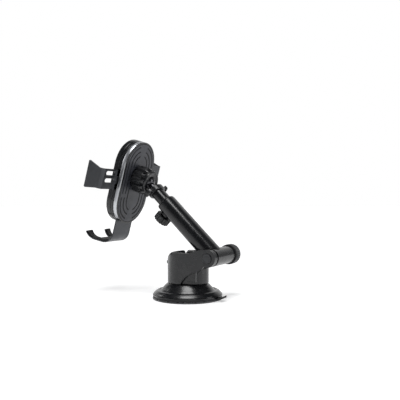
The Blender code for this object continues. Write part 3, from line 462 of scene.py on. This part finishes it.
def ribbon(path, thickness, shift=0.0):
    near, far = [], []
    for i, point in enumerate(path):
        before = path[max(i - 1, 0)]
        after = path[min(i + 1, len(path) - 1)]
        dx, dy = after[0] - before[0], after[1] - before[1]
        size = hypot(dx, dy)
        left = (-dy / size, dx / size)
        near.append((point[0] + left[0] * shift, point[1] + left[1] * shift))
        reach = shift + thickness
        far.append((point[0] + left[0] * reach, point[1] + left[1] * reach))
    return near + far[::-1]


# ---- suction base ----------------------------------------------------------------------------------
HINGE_MM = HINGE / MM
COLUMN_HALF = 16.8
COLUMN_Y = (-2.5, 6.6)
NOSE = (9.2, 8.6)
BOLT_HOLE = 3.3
NECK_SCREW_HOLE = 1.6


def build_pads():
    gel = soften([(0, 1.4), (37.5, 1.4), (37.5, 0), (36.2, 0)], 0.4)
    for rim in (36.0, 24.0, 12.0):
        gel += [(rim, 0.0), (rim - 0.3, 0.22), (rim - 0.8, 0.22), (rim - 1.1, 0.0)]
    gel.append((0, 0))
    piece("gel_pad", turned(gel, steps=160), "base", GEL, ["suction_gel_pad"])
    rim = soften([(0, 3.0), (34.4, 3.0), (34.7, 2.7), (35.6, 2.7), (35.9, 3.0), (37.0, 3.0), (37.0, 1.7),
                  (34.0, 1.7)], 0.25) + [(0, 1.7)]
    membrane = turned(rim, steps=160)
    tab_line = flow([(33.5, 1.7), (36.5, 1.7), (39, 1.75), (41.2, 2.05), (43.2, 2.9), (45.2, 4.7)], 5)
    tab = side_plate([ribbon(tab_line, 1.3)], (-5, 5), 0.35)
    tongue = soften([(-4.6, 30), (4.6, 30), (5.0, 38), (5.0, 44.9), (-5.0, 44.9), (-5.0, 38)], 3.4, True, 8)
    common(tab, plate([tongue], (0, 9)))
    fuse(membrane, tab)
    piece("membrane", membrane, "base", RUBBER, ["suction_membrane"])
    ribs = []
    for y, z in ((40.0, 3.18), (41.4, 3.45), (42.7, 3.98)):
        ribs.append(rod(0.28, (-3.4, 3.4), TO_X, (0, y, z), 16))
    grip = fuse(ribs[0], *ribs[1:])
    piece("tab_ribs", grip, "base", RUBBER)


def neck_screw_holes(obj, span):
    for x, y in arc((0, 0), 12.5, 90, 330, 2):
        carve(obj, rod(NECK_SCREW_HOLE, span, at=(x, y, 0), sides=24))


def build_base_shells():
    ring = soften([(35.0, 4.9), (37.3, 4.9), (37.3, 3.3), (35.0, 3.3)], 0.6, True, 5)
    piece("cup_ring", turned(ring, steps=160, ring=True), "base", GLOSS, ["base_ring"])
    outer = soften([(6.0, 16.4), (21.5, 16.4), (22.3, 15.8)], 0.5)
    outer += flow([(22.6, 15.55), (24.2, 14.1), (26.0, 12.25), (27.9, 10.1), (29.4, 8.75)], 8)
    outer += flow([(29.9, 8.5), (30.15, 8.5), (30.4, 8.8), (30.9, 9.2), (31.6, 9.25), (33.2, 8.65),
                   (35.0, 7.25), (36.3, 5.95)], 6)
    outer += soften([(36.55, 5.7), (36.65, 5.2), (33.5, 5.2)], 0.2)
    inner = [(28.5, 6.6), (24.5, 10.2), (21.0, 14.2), (6.0, 14.2)]
    cone = turned(outer + inner, steps=160, ring=True)
    neck_screw_holes(cone, (13, 17))
    piece("cup_cone", cone, "base", GLOSS, ["base_cone"])


def in_frame(points):
    return [(HINGE_MM.y + y, HINGE_MM.z + z) for y, z in points]


def nose_envelope(radius, top):
    """Rounds the front of a round-fronted block, which leans back towards its top."""
    back, down = NOSE
    steps = 28
    profile = [(0, top)]
    for i in range(steps + 1):
        angle = 0.5 * pi * i / steps
        profile.append((radius - back * (1 - sin(angle)), top - down * (1 - cos(angle))))
    nose = turned(profile + [(radius, 0), (0, 0)], steps=160)
    for vertex in nose.data.vertices:
        reach = hypot(vertex.co.x, vertex.co.y)
        if reach > 0.1:
            vertex.co.x *= (radius + 0.5) / reach
    nose.data.transform(Matrix.Translation((0, COLUMN_Y[0], 0)))
    return fuse(nose, block((-80, 80), (COLUMN_Y[0], 80), (0, top + 12)))


def build_neck_bracket():
    front, rear_centre = COLUMN_Y
    top = 45.5
    outline = arc((0, rear_centre), COLUMN_HALF, 0, 180, 48) + arc((0, front), COLUMN_HALF, 180, 360, 48)
    bracket = plate([outline], (16.7, top), 0.9)
    common(bracket, nose_envelope(COLUMN_HALF, top))
    carve(bracket, side_plate([[(9, top), (30, 35.3), (30, 60), (9, 60)]], (-30, 30)))
    dome = soften([(0, 50.9), (3.4, 50.6), (5.4, 48.8), (6.0, 46.0), (6.0, 44), (0, 44)], 1.6, count=8)
    fuse(bracket, turned(dome, at=(0, 4.0, 0)))
    rear = COLUMN_Y[1] + COLUMN_HALF
    rim = in_frame(arc((0, 0), 9.0, -112, 128, 48))
    cheek = [(5, 20), (rear - 5.0, 20)] + flow([(rear - 5.0, 26), (rear - 4.6, 29.5), (rear - 2.9, 32.2),
                                                (rear + 0.2, 34.5)], 6)
    cheek += rim + [(10, 37), (5, 30)]
    cheek_plate = side_plate([cheek], (12.6, 16.8), 0.5)
    saddle_rim = in_frame(arc((0, 0), 10.0, -98, -130, 12))
    saddle = [(5, 20), (rear - 5.5, 20)] + flow([(rear - 5.4, 26), (rear - 4.4, 29.3), (rear - 2.4, 31.6),
                                                 (rear + 0.9, 33.3)], 6)
    saddle += saddle_rim + [(20.0, 36.5), (5, 29.5)]
    fuse(bracket, side_plate([saddle], (-3, 13), 0.5), cheek_plate)
    hub = turned(soften([(0, 16.5), (5.2, 16.5), (5.2, 19.0), (4.5, 19.0), (4.5, 17.2), (0, 17.2)], 0.2),
                 TO_X, HINGE_MM)
    fuse(bracket, hub)
    carve(bracket, rod(4.5, (17.2, 19.5), TO_X, HINGE_MM), rod(BOLT_HOLE, (12, 18), TO_X, HINGE_MM),
          rod(5.2, (10, 27.5)), block((-20, 20), (-1.9, 1.9), (12, 26)))
    neck_screw_holes(bracket, (16, 24))
    piece("column", bracket, "base", GLOSS, ["neck_bracket"])


def lever_plan(half, front_centre, rear):
    return [(half, rear), (-half, rear)] + arc((0, front_centre), half, 180, 360, 56)


def build_lock_lever():
    half, wall = 19.3, 2.2
    low, top = 17.3, 49.7
    front_centre = COLUMN_Y[0]
    front = front_centre - half
    lever = plate([lever_plan(half, front_centre, 44)], (15, 57))
    arch = flow([(1.9, low), (4.4, 21.2), (7.7, 24.6), (11.2, 27.0), (15.0, 28.9), (20.0, 30.9),
                 (26.0, 33.4)], 6)
    eye_rim = in_frame(arc((0, 0), 9.2, -112, 97, 48))
    crown = flow([(24, 53.6), (19.5, 52.6), (15, 51.0), (10.5, 50.0), (6, top)], 5)
    side = [(front - 1, low)] + arch + eye_rim + crown + [(front - 1, top)]
    common(lever, side_plate([side], (-25, 25)))
    common(lever, nose_envelope(half, top))
    soft_edges(lever, 0.6, angle=40)
    inner = half - wall
    cavity = plate([lever_plan(inner, front_centre, 60)], (10, top - wall))
    common(cavity, nose_envelope(inner, top - wall))
    open_top = block((-inner, inner), (-12, 60), (45, 60))
    far_cut = block((-25, -0.5 * inner), (14, 60), (5, 60))
    carve(lever, cavity, open_top, far_cut, rod(5.5, (15, 21), TO_X, HINGE_MM))
    lip = block((-4.0, 4.0), (front - 2.4, front + 1.0), (36.0, 39.4))
    soft_edges(lip, 0.8)
    fuse(lever, lip)
    piece("lever", lever, "lever", LEVER, ["lock_lever"], sharp=28)


def build_hinge():
    cap = soften([(0, 20.0), (2.9, 20.0), (3.2, 19.85), (3.6, 19.85), (3.9, 20.1), (5.0, 20.1), (5.0, 19.4),
                  (0, 19.4)], 0.18)
    piece("cap", turned(cap, TO_X), "base", KNOB, ["hinge_cap"], HINGE_F)
    teeth = plate([lobed(8.7, 0.6, 30, 8), circle((0, 0), BOLT_HOLE)], (10.95, 12.25), 0.15, TO_X)
    piece("teeth", teeth, "base", SATIN, ["tooth_ring"], HINGE_F)
    washer = soften(rectangle(10.7, BOLT_HOLE, -31.1, -30.35), 0.2, True)
    piece("washer", turned(washer, TO_X, ring=True), "base", RUBBER, ["knob_washer"], HINGE_F)
    knob = plate([lobed(11.0, 0.7, 32, 10, 1.3)], (-42.5, -31.4), 0.0, TO_X)
    side = soften([(0, -31.4), (10.7, -31.4), (11.05, -31.8), (11.05, -40.6), (9.6, -42.5), (0, -42.5)], 0.7)
    common(knob, turned(side, TO_X))
    dish = turned(soften([(0, -43.0), (7.4, -43.0), (7.0, -42.0), (0, -42.0)], 0.2), TO_X)
    carve(knob, dish, rod(BOLT_HOLE, (-39.5, -30.5), TO_X))
    piece("fluted_knob", knob, "knob", KNOB, ["hinge_knob"], HINGE_F)
    barrel = soften([(BOLT_HOLE, 10.6), (8.0, 10.6), (8.2, 10.45), (9.3, 10.45), (9.3, -30.0),
                     (BOLT_HOLE, -30.0)], 0.7, True, 5)
    body = turned(barrel, TO_X, ring=True)
    piece("barrel", body, "arm", GLOSS, ["arm_barrel"], HINGE_F)


# ---- telescopic arm --------------------------------------------------------------------------------
SCREW_AT = 73.8


def build_arm():
    tube_half, wall = (11.3, 9.6), 1.8
    bore = (tube_half[0] - wall, tube_half[1] - wall)
    tube = plate([oval(tube_half, 160), oval(bore)], (3, 81.6), 0.5)
    carve(tube, rod(9.6, (-34, 14), TO_X, sides=96))
    boss = turned(soften([(0, -8.6), (5.4, -8.6), (5.4, -11.4), (0, -11.4)], 0.5), TO_Y, (0, 0, SCREW_AT))
    fuse(tube, boss)
    carve(tube, rod(3.0, (-13, -5), TO_Y, (0, 0, SCREW_AT)))
    piece("outer_arm", tube, "arm", GLOSS, ["outer_tube"], ARM_F)

    lip = (tube_half[0] - 0.3, tube_half[1] - 0.3)
    sleeve_out = (tube_half[0] - wall - 0.3, tube_half[1] - wall - 0.3)
    sleeve_in = (8.5, 7.0)
    sleeve = plate([oval(sleeve_out), oval(sleeve_in)], (64, 82.4))
    fuse(sleeve, plate([oval(lip), oval((8.7, 7.2))], (81.9, 83.0), 0.35))
    carve(sleeve, rod(3.0, (-13, -5), TO_Y, (0, 0, SCREW_AT)))
    piece("sleeve", sleeve, "arm", SATIN, ["tube_bushing"], ARM_F)

    grip = plate([lobed(9.0, 1.0, 14, 14, 1.3)], (-19.8, -11.8), 0.9, TO_Y, (0, 0, SCREW_AT))
    dish = turned(soften([(0, -20.5), (5.6, -20.5), (5.2, -19.2), (0, -19.2)], 0.3), TO_Y, (0, 0, SCREW_AT))
    carve(grip, dish)
    shaft = turned([(0, -7.1), (2.2, -7.1), (2.6, -7.5), (2.6, -12.5), (0, -12.5)], TO_Y, (0, 0, SCREW_AT))
    fuse(grip, shaft)
    piece("screw_knob", grip, "thumb_screw", SATIN, ["thumb_screw"], ARM_F)

    inner = plate([oval((8.2, 6.7), 160), oval((6.7, 5.2))], (38, 97), 0.3)
    piece("inner_arm", inner, "inner_arm", GLOSS, ["inner_tube"], ARM_F)


def hook_path(side):
    rise = arc((0, -2.6), 4.0, 90, -60, 24)
    path = [(7.0, 1.4)] + [(10.6 + x, y) for x, y in rise]
    return [(side * x, side * y) for x, y in path]


def build_clip():
    low, high = 97.3, 103.3
    clip = plate([oval((10.2, 8.6))], (low, high), 0.7)
    for side in (1, -1):
        hook = plate([ribbon(hook_path(side), 3.0, -1.5)], (low + 0.6, high - 0.6), 1.1)
        fuse(clip, hook)
    piece("cable_hooks", clip, "inner_arm", SATIN, ["cable_clip"], ARM_F)
    ball_r, stem_r, ball_at = 8.0, 3.2, 116.0
    neck = asin(stem_r / ball_r)
    profile = [(0.0, ball_at + ball_r)]
    for i in range(1, 29):
        angle = (pi - neck) * i / 28
        profile.append((ball_r * sin(angle), ball_at + ball_r * cos(angle)))
    profile += soften([(stem_r, 107.0), (stem_r, 105.8), (4.2, 105.4), (6.2, 104.7), (6.2, 103.6),
                       (0, 103.6)], 0.5)
    piece("ball", turned(profile), "inner_arm", BALL_STEEL, ["ball_stud"], ARM_F)


# ---- ball joint ------------------------------------------------------------------------------------
def cup_arc(radius, start, end, count):
    steps = [radians(start + (end - start) * i / count) for i in range(count + 1)]
    return [(radius * sin(a), -radius * cos(a)) for a in steps]


def build_ball_joint():
    seat = cup_arc(8.3, 0, 68, 20) + cup_arc(9.2, 68, 0, 20)
    piece("nylon_seat", turned(seat, TO_Y), "seat", NYLON, ["ball_seat"], BALL_F)
    inner = cup_arc(9.6, 0, 80, 20)
    cover = inner + [(10.4, inner[-1][1]), (10.4, -10.4), (0, -10.4)]
    piece("seat_cap", turned(cover, TO_Y), "cover", SATIN, ["seat_cover"], BALL_F)
    base = -BALL_OUT - 1.3
    thread = []
    for i in range(7):
        z = -1.6 - 1.4 * i
        thread += [(11.9, z), (11.55, z - 0.7)]
    spigot = [(0, -10.7), (10.7, -10.7), (10.7, -1.0), (11.7, -1.0)] + thread
    spigot += [(11.9, base + 3.0), (12.7, base + 3.0), (12.7, base), (0, base)]
    piece("spigot", turned(spigot, TO_Y), "head", SATIN, ["ball_socket"], BALL_F)

    low = -BALL_OUT + 2.0
    nut = plate([lobed(15.2, 1.6, 12, 20, 1.5)], (low, -1.0), 0.0, TO_Y)
    fuse(nut, plate([lobed(14.6, 2.8, 12, 20, 1.5)], (-1.5, 3.4), 0.0, TO_Y))
    side = soften([(0, 2.8), (12.6, 2.8), (13.7, 2.0), (15.1, -1.8), (15.2, -6.0), (15.3, low + 1),
                   (15.0, low), (0, low)], 0.4)
    common(nut, turned(side, TO_Y, steps=162))
    collar = soften([(0, 5.6), (11.8, 5.6), (12.7, 5.1), (13.1, 4.3), (13.1, 3.2), (12.5, 2.0),
                     (0, 2.0)], 0.3)
    fuse(nut, turned(collar, TO_Y, steps=160))
    lip_angle = 90 + degrees(acos(7.0 / 8.3))
    lip = cup_arc(8.3, 88, lip_angle, 12)
    bore = [(0, 7.0), (10.9, 7.0), (10.6, 5.8), (10.2, 5.2), (8.2, 4.7)] + lip[::-1]
    bore += [(lip[0][0], -0.7), (12.2, -0.7), (12.2, low - 1), (0, low - 1)]
    carve(nut, turned(bore, TO_Y))
    piece("ribbed_nut", nut, "nut", SATIN, ["ball_nut"], BALL_F)


# ---- head ------------------------------------------------------------------------------------------
HEAD_L, HEAD_W = 47.3, 27.4
HEAD_RISE = HEAD_L - HEAD_W
PLATE_D = (-5.9, -4.5)
WING_D = (-8.4, -6.8)
WING_V = (-9.2, 12.9)
ARM_V = (-3.4, 5.2)
FACE_D = -16.6
FOOT_HALF = 15.6
FOOT_FLARE = (-14.0, -38.0, 0.42)
POSTS = [(21.8, 25.0), (-21.8, 25.0), (-21.8, -25.0), (21.8, -25.0)]


def head_outline(inset):
    half, count = HEAD_W - inset, 48
    return arc((0, HEAD_RISE), half, 0, 180, count) + arc((0, -HEAD_RISE), half, 180, 360, count)


def lofted(section, ring=False):
    """A solid whose outline at each (inset, depth) of the section is the head's outline, inset."""
    bm = bmesh.new()
    rows = []
    for inset, depth in section:
        rows.append([bm.verts.new((x, depth, z)) for x, z in head_outline(inset)])
    size = len(rows[0])
    pairs = list(zip(rows, rows[1:]))
    if ring:
        pairs.append((rows[-1], rows[0]))
    for one, two in pairs:
        for i in range(size):
            bm.faces.new((one[i], one[(i + 1) % size], two[(i + 1) % size], two[i]))
    if not ring:
        bm.faces.new(rows[0])
        bm.faces.new(rows[-1])
    bmesh.ops.recalc_face_normals(bm, faces=bm.faces)
    mesh = bpy.data.meshes.new("lofted")
    bm.to_mesh(mesh)
    bm.free()
    return shape(mesh)


def wing_spans(side, span):
    """A height span of the right wing, or of the left one, which is turned half round the ball."""
    if side > 0:
        return span
    return (2 * BALL_UP - span[1], 2 * BALL_UP - span[0])


def build_rear_housing():
    section = [(2.2, -3.2), (2.2, -9.0)]
    section += soften([(2.2, -9.0), (0, -9.0), (0, -6.1), (1.3, -6.1), (1.3, -0.8), (0.25, -0.8),
                       (0.25, -0.2), (2.1, -0.2), (2.1, -1.6), (4.0, -1.6)], 0.3)[1:]
    housing = lofted(section)
    for side in (1, -1):
        low, high = wing_spans(side, WING_V)
        across = sorted((0, side * 40))
        carve(housing, block(across, (-10, WING_D[1] + 0.75), (low - 0.6, high + 0.6)))
    foot_slot = (PLATE_D[0] - 0.4, PLATE_D[1] + 0.4)
    carve(housing, block((-FOOT_HALF - 0.4, FOOT_HALF + 0.4), foot_slot, (-50, -30)))
    for x, z in POSTS:
        carve(housing, rod(2.2, (-2.6, 0), TO_Y, (x, 0, z), 32), rod(1.1, (-5, 0), TO_Y, (x, 0, z), 24))
    piece("rear_shell", housing, "head", GLOSS, ["rear_housing"], HEAD_F)


def build_front_housing():
    section = [(2.2, -13.4)]
    section += soften([(2.2, -13.4), (2.2, -9.3), (0, -9.3), (0, -15.4), (3.5, -15.4)], 0.9, count=6)[1:]
    housing = lofted(section)
    for x, z in POSTS:
        fuse(housing, rod(2.3, (-14, -3.5), TO_Y, (x, 0, z), 32))
        carve(housing, rod(1.1, (-12.5, 0), TO_Y, (x, 0, z), 24))
    piece("front_shell", housing, "head", GLOSS, ["front_housing"], HEAD_F)


def groove_paths():
    """The back panel's broken ring grooves: for each, its half width and the gap at both ends."""
    lines = []
    for half, gap in ((22.0, 6.6), (16.8, 5.0), (11.6, 4.0)):
        lift = degrees(asin(gap / half))
        for side in (1, -1):
            upper = arc((0, HEAD_RISE), half, 90 - lift, 0, 24)
            lower = arc((0, -HEAD_RISE), half, 0, -90 + lift, 24)
            path = [(side * x, z) for x, z in upper + lower]
            lines.append((half, side, path))
    return lines


def groove_shapes(width, depth):
    """The grooves as solids, cut off round the ball nut and broken once on the right."""
    made = []
    for half, side, path in groove_paths():
        line = face_plate([ribbon(path, width, -0.5 * width)], depth)
        if half < 15:
            carve(line, rod(16.0, (-20, 20), TO_Y, (0, 0, BALL_UP)))
        elif side > 0:
            carve(line, block((0, 30), (-5, 5), (-16.5, -12.5)))
        made.append(line)
    return made


def build_back_panel():
    section = [(5.0, -1.3)] + soften([(2.4, -1.3), (2.4, 0.0), (5.0, 0.0)], 0.35)
    panel = lofted(section)
    carve(panel, turned(soften([(0, -2), (13.1, -2), (13.1, -0.35), (13.6, 0.4), (0, 0.4)], 0.1), TO_Y,
                        (0, 0, BALL_UP)))
    for line in groove_shapes(1.6, (-0.7, 0.3)):
        carve(panel, line)
    piece("panel", panel, "head", PANEL, ["back_panel"], HEAD_F)
    # a near-black sheet laid in each groove, under its rim: painted shade in the groove recesses
    shade_sheets = groove_shapes(1.52, (-0.66, -0.40))
    shade_sheet = shade_sheets[0]
    fuse(shade_sheet, *shade_sheets[1:])
    piece("groove_painted_shade", shade_sheet, "head", GROOVE_SHADE_FINISH, into=HEAD_F)
    trim = [(1.0, -5.75), (0.45, -5.75), (0.2, -5.3), (0.1, -4.4), (0.1, -3.0), (0.2, -2.0), (0.45, -1.1),
            (1.0, -1.1)]
    trim = lofted(soften(trim, 0.2, True, 3), True)
    carve(trim, block((-FOOT_HALF - 0.8, FOOT_HALF + 0.8), (-8, 1), (-50, -30)))
    piece("trim", trim, "head", CHROME, ["trim_ring"], HEAD_F)


def build_front_pad():
    face = FACE_D + 0.25
    section = [(5.0, -15.7)] + soften([(3.0, -15.7), (3.0, FACE_D), (4.6, FACE_D), (4.9, face), (6.0, face)],
                                      0.2, count=3)
    pad = lofted(section)
    piece("grip_pad", pad, "head", RUBBER, ["front_pad"], HEAD_F)
    bm = bmesh.new()
    pitch, half, top = 1.8, 0.62, 0.4464
    count_x, count_z = 12, 24
    corners = ((-1, -1), (1, -1), (1, 1), (-1, 1))
    for i in range(-count_x, count_x + 1):
        for k in range(-count_z, count_z + 1):
            x, z = i * pitch, k * pitch
            beyond = hypot(x, max(0.0, abs(z) - HEAD_RISE))
            if beyond > HEAD_W - 6.4:
                continue
            low = [bm.verts.new((x + a * half, face + 0.05, z + b * half)) for a, b in corners]
            high = [bm.verts.new((x + a * top, FACE_D, z + b * top)) for a, b in corners]
            bm.faces.new(high)
            bm.faces.new(low[::-1])
            for j in range(4):
                bm.faces.new((low[j], low[(j + 1) % 4], high[(j + 1) % 4], high[j]))
    bmesh.ops.recalc_face_normals(bm, faces=bm.faces)
    mesh = bpy.data.meshes.new("grip_studs")
    bm.to_mesh(mesh)
    bm.free()
    piece("grip_studs", shape(mesh), "head", RUBBER, into=HEAD_F)


# ---- wings and foot --------------------------------------------------------------------------------
WING_BEND, JAW_TIP_D = 55.5, -25.0
FLARE = (5.4, 2.6)
PIN_X = 17.0
FOOT_TRAVEL = 18.0


def wing_path(side):
    start, bend, outer, lean = 30.0, 4.5, WING_D[1], 3.2
    corner = arc((WING_BEND - bend, outer - bend), bend, 90, 8, 16)
    foot = corner[-1]
    middle = (WING_BEND + 0.6 * lean, 0.35 * outer + 0.65 * JAW_TIP_D)
    jaw = flow([foot, middle, (WING_BEND + lean, JAW_TIP_D)], 8)
    return [(side * x, y) for x, y in [(start, outer)] + corner[:-1] + jaw]


def flare_jaw(mesh, side, span):
    """Widens the jaw towards its tip, more on its outer end than on the one near the ball."""
    start = -12.0
    middle = 0.5 * (span[0] + span[1])
    for vertex in mesh.vertices:
        share = max(0.0, (start - vertex.co.y) / (start - JAW_TIP_D))
        up = vertex.co.z > middle
        grow = share * (FLARE[0] if up == (side > 0) else FLARE[1])
        vertex.co.z += grow if up else -grow


def build_wing(side, name):
    thick = WING_D[1] - WING_D[0]
    shift = -thick if side > 0 else 0.0
    span = wing_spans(side, WING_V)
    wing = plate([ribbon(wing_path(side), thick, shift)], span, 0.3)
    flare_jaw(wing.data, side, span)
    arm_v = wing_spans(side, ARM_V)
    reach = sorted((side * 12, side * 31))
    arm = face_plate([rectangle(reach[0], reach[1], arm_v[0], arm_v[1])], WING_D, 0.0)
    fuse(wing, arm)
    for height in wing_spans(side, (0.3, 8.3)):
        window = soften(long_hole((side * 35.6, height), (side * 46.8, height), 2.3), 0.1, True, 2)
        carve(wing, face_plate([window], (-12, -4)))
    pin_v = 0.5 * (arm_v[0] + arm_v[1])
    carve(wing, rod(1.8, (-10, -5), TO_Y, (side * PIN_X, 0, pin_v), 32))
    corner_cut(wing, side, span)
    piece("wing_plate_" + name, wing, "wing_" + name, METAL, ["wing_" + name], HEAD_F)
    pad_line = wing_path(side)[18:]
    pad_shift = (thick + 0.3) * (-1 if side > 0 else 1)
    outline = ribbon(pad_line, 1.0, pad_shift - 1.0 if side > 0 else pad_shift)
    pad = plate([outline], (span[0] + 1.5, span[1] - 1.5), 0.3)
    rib_line = pad_line[2:-1]
    for low in (2.4, 5.9, 9.4, 12.9, 16.4):
        rib_span = (span[0] + low, span[0] + low + 1.2)
        rib_shift = pad_shift - 1.4 if side > 0 else pad_shift + 0.8
        fuse(pad, plate([ribbon(rib_line, 0.6, rib_shift)], rib_span, 0.15))
    piece("jaw_rubber_" + name, pad, "wing_" + name, RUBBER, ["jaw_pad_" + name], HEAD_F)


def corner_cut(wing, side, span):
    """Rounds the jaw's two tip corners, seen from the side."""
    outer, inner = (FLARE[0], FLARE[1]) if side > 0 else (FLARE[1], FLARE[0])
    tip = JAW_TIP_D - 0.6
    radius = 3.0
    for level, sign in ((span[1] + outer, 1), (span[0] - inner, -1)):
        centre = (tip + radius, level - sign * radius)
        rim = arc(centre, radius, 180, 180 - sign * 90, 10)
        corner = [(tip - 3, centre[1])] + rim + [(centre[0], level + sign * 3), (tip - 3, level + sign * 3)]
        carve(wing, side_plate([corner], sorted((side * 50, side * 62))))


def foot_path():
    bend, curl_r, shelf, rear = 13.0, 14.0, -73.5, PLATE_D[1]
    corner = arc((rear - bend, shelf + bend), bend, 0, -90, 24)
    curl = arc((-26.0, shelf + curl_r), curl_r, -90, -150, 24)
    return corner + curl


def flare_foot(obj):
    """Spreads the fork's two arms apart towards their tips."""
    start, end, share = FOOT_FLARE
    for vertex in obj.data.vertices:
        along = (start - vertex.co.y) / (start - end)
        vertex.co.x *= 1 + share * min(1.0, max(0.0, along))


def build_foot():
    thick = PLATE_D[1] - PLATE_D[0]
    outline = ribbon([(PLATE_D[1], 32)] + foot_path(), thick, -thick)
    foot = side_plate([outline], (-FOOT_HALF, FOOT_HALF), 0.3)
    for half, low, high in ((20.2, -3.0, 16.0), (18.8, 16.0, 32.0)):
        fuse(foot, block((-half, half), (PLATE_D[0] + 0.01, PLATE_D[1] - 0.01), (low, high)))
    notch = soften([(-8.6, -60), (8.6, -60), (8.6, -24), (-8.6, -24)], 3.0, True, 6)
    carve(foot, plate([notch], (-90, -50)))
    flare_foot(foot)
    for side in (1, -1):
        pin_v = 0.5 * sum(wing_spans(side, ARM_V))
        start = (side * PIN_X, pin_v)
        end = (side * (PIN_X - FOOT_TRAVEL), pin_v + FOOT_TRAVEL)
        carve(foot, face_plate([long_hole(start, end, 1.9)], (-8, -3)))
    piece("foot_plate", foot, "foot", METAL, ["foot"], HEAD_F)
    pad_line = foot_path()[16:]
    pad = side_plate([ribbon(pad_line, 1.5, -thick - 1.8)], (-FOOT_HALF + 1, FOOT_HALF - 1), 0.35)
    carve(pad, block((-9.6, 9.6), (-60, -23), (-90, -50)))
    for x in (-13.4, -12.1, -10.8, 10.8, 12.1, 13.4):
        strip = ribbon(pad_line[4:-2], 0.5, -thick - 2.1)
        fuse(pad, side_plate([strip], (x - 0.5, x + 0.5), 0.12))
    flare_foot(pad)
    piece("foot_rubber", pad, "foot", RUBBER, ["foot_pad"], HEAD_F)


def dress_cad_nodes():
    """The nodes that are shown as packed take the finish of their slot."""
    slots = {entry["node"]: entry["material_slot"] for entry in frame["record"]["subparts"]}
    for name, node in frame["nodes"].items():
        node.data.materials.clear()
        node.data.materials.append(SLOT_FINISH[slots[name]])


# ---- stage, light, camera --------------------------------------------------------------------------
CAMERA_AT = (0.5199, 0.2914, 0.10675)
CAMERA_PITCH = radians(89.82)
CAMERA_TURN = radians(118)
DIM_SIDE = (0.09, 0.092, 0.096, 1.0)
WHITE = (1.0, 1.0, 1.0, 1.0)


def build_stage():
    bm = bmesh.new()
    bmesh.ops.create_circle(bm, cap_ends=True, segments=96, radius=6.0)
    mesh = bpy.data.meshes.new("floor")
    bm.to_mesh(mesh)
    bm.free()
    floor = bpy.data.objects.new("floor", mesh)
    floor.location.z = -0.0002
    SCENE.collection.objects.link(floor)
    n = Nodes("pale_floor")
    pale = n.mix(n.remap(n.noise(6, 5), 0.35, 0.65, 0, 1), (0.86, 0.86, 0.86), (0.90, 0.90, 0.90))
    n.link(pale, n.shader.inputs["Base Color"])
    n.shader.inputs["Emission Color"].default_value = WHITE
    reach = n.tree.nodes.new("ShaderNodeVectorMath")
    reach.operation = "LENGTH"
    n.link(n.coords, reach.inputs[0])
    n.link(n.remap(reach.outputs["Value"], 0.25, 1.3, 0.40, 0.97), n.shader.inputs["Emission Strength"])
    n.shader.inputs["Roughness"].default_value = 0.8
    n.link(n.bump(n.noise(900, 2), 0.00005, 0.3), n.shader.inputs["Normal"])
    mesh.materials.append(n.mat)


def build_world():
    """White behind the mount, as the camera sees it, and dim on the camera's side."""
    world = bpy.data.worlds.new("studio")
    SCENE.world = world
    world.use_nodes = True
    tree = world.node_tree
    background = tree.nodes["Background"]
    coords = tree.nodes.new("ShaderNodeTexCoord")
    facing = tree.nodes.new("ShaderNodeVectorMath")
    facing.operation = "DOT_PRODUCT"
    facing.inputs[1].default_value = (-sin(CAMERA_TURN), cos(CAMERA_TURN), 0.0)
    ramp = tree.nodes.new("ShaderNodeValToRGB")
    tree.links.new(coords.outputs["Generated"], facing.inputs[0])
    tree.links.new(facing.outputs["Value"], ramp.inputs["Fac"])
    tree.links.new(ramp.outputs["Color"], background.inputs["Color"])
    for stop, position, colour in zip(ramp.color_ramp.elements, (0.55, 0.86), (DIM_SIDE, WHITE)):
        stop.position = position
        stop.color = colour
    background.inputs["Strength"].default_value = 1.0


def area_light(name, place, aim, size, power):
    data = bpy.data.lights.new(name, "AREA")
    data.shape = "RECTANGLE"
    data.size, data.size_y = size
    data.energy = power
    light = bpy.data.objects.new(name, data)
    light.location = place
    light.rotation_euler = (Vector(aim) - Vector(place)).to_track_quat("-Z", "Y").to_euler()
    light.visible_camera = False
    SCENE.collection.objects.link(light)


def build_lights():
    aim = (0, 0, 0.09)
    area_light("top", (0.20, 0.10, 0.95), aim, (0.45, 0.45), 6.0)
    area_light("near_band", (0.55, -0.75, 0.55), aim, (0.10, 0.50), 1.2)
    area_light("left_band", (-0.10, -0.85, 0.30), aim, (0.15, 0.60), 2.0)
    area_light("right_band", (-0.25, 0.85, 0.30), aim, (0.15, 0.60), 2.0)


def build_camera():
    """Looks at the mount from its right-hand side and a little from behind, level with its middle."""
    data = bpy.data.cameras.new("camera")
    data.lens = 50
    data.sensor_width = 36
    data.clip_start = 0.01
    camera = bpy.data.objects.new("camera", data)
    camera.location = CAMERA_AT
    camera.rotation_euler = (CAMERA_PITCH, 0, CAMERA_TURN)
    SCENE.collection.objects.link(camera)
    SCENE.camera = camera


build_pads()
build_base_shells()
build_neck_bracket()
build_lock_lever()
build_hinge()
build_arm()
build_clip()
build_ball_joint()
build_rear_housing()
build_front_housing()
build_back_panel()
build_front_pad()
build_wing(1, "right")
build_wing(-1, "left")
build_foot()
dress_cad_nodes()
build_stage()
build_world()
build_lights()
build_camera()
SCENE.view_settings.view_transform = "Standard"
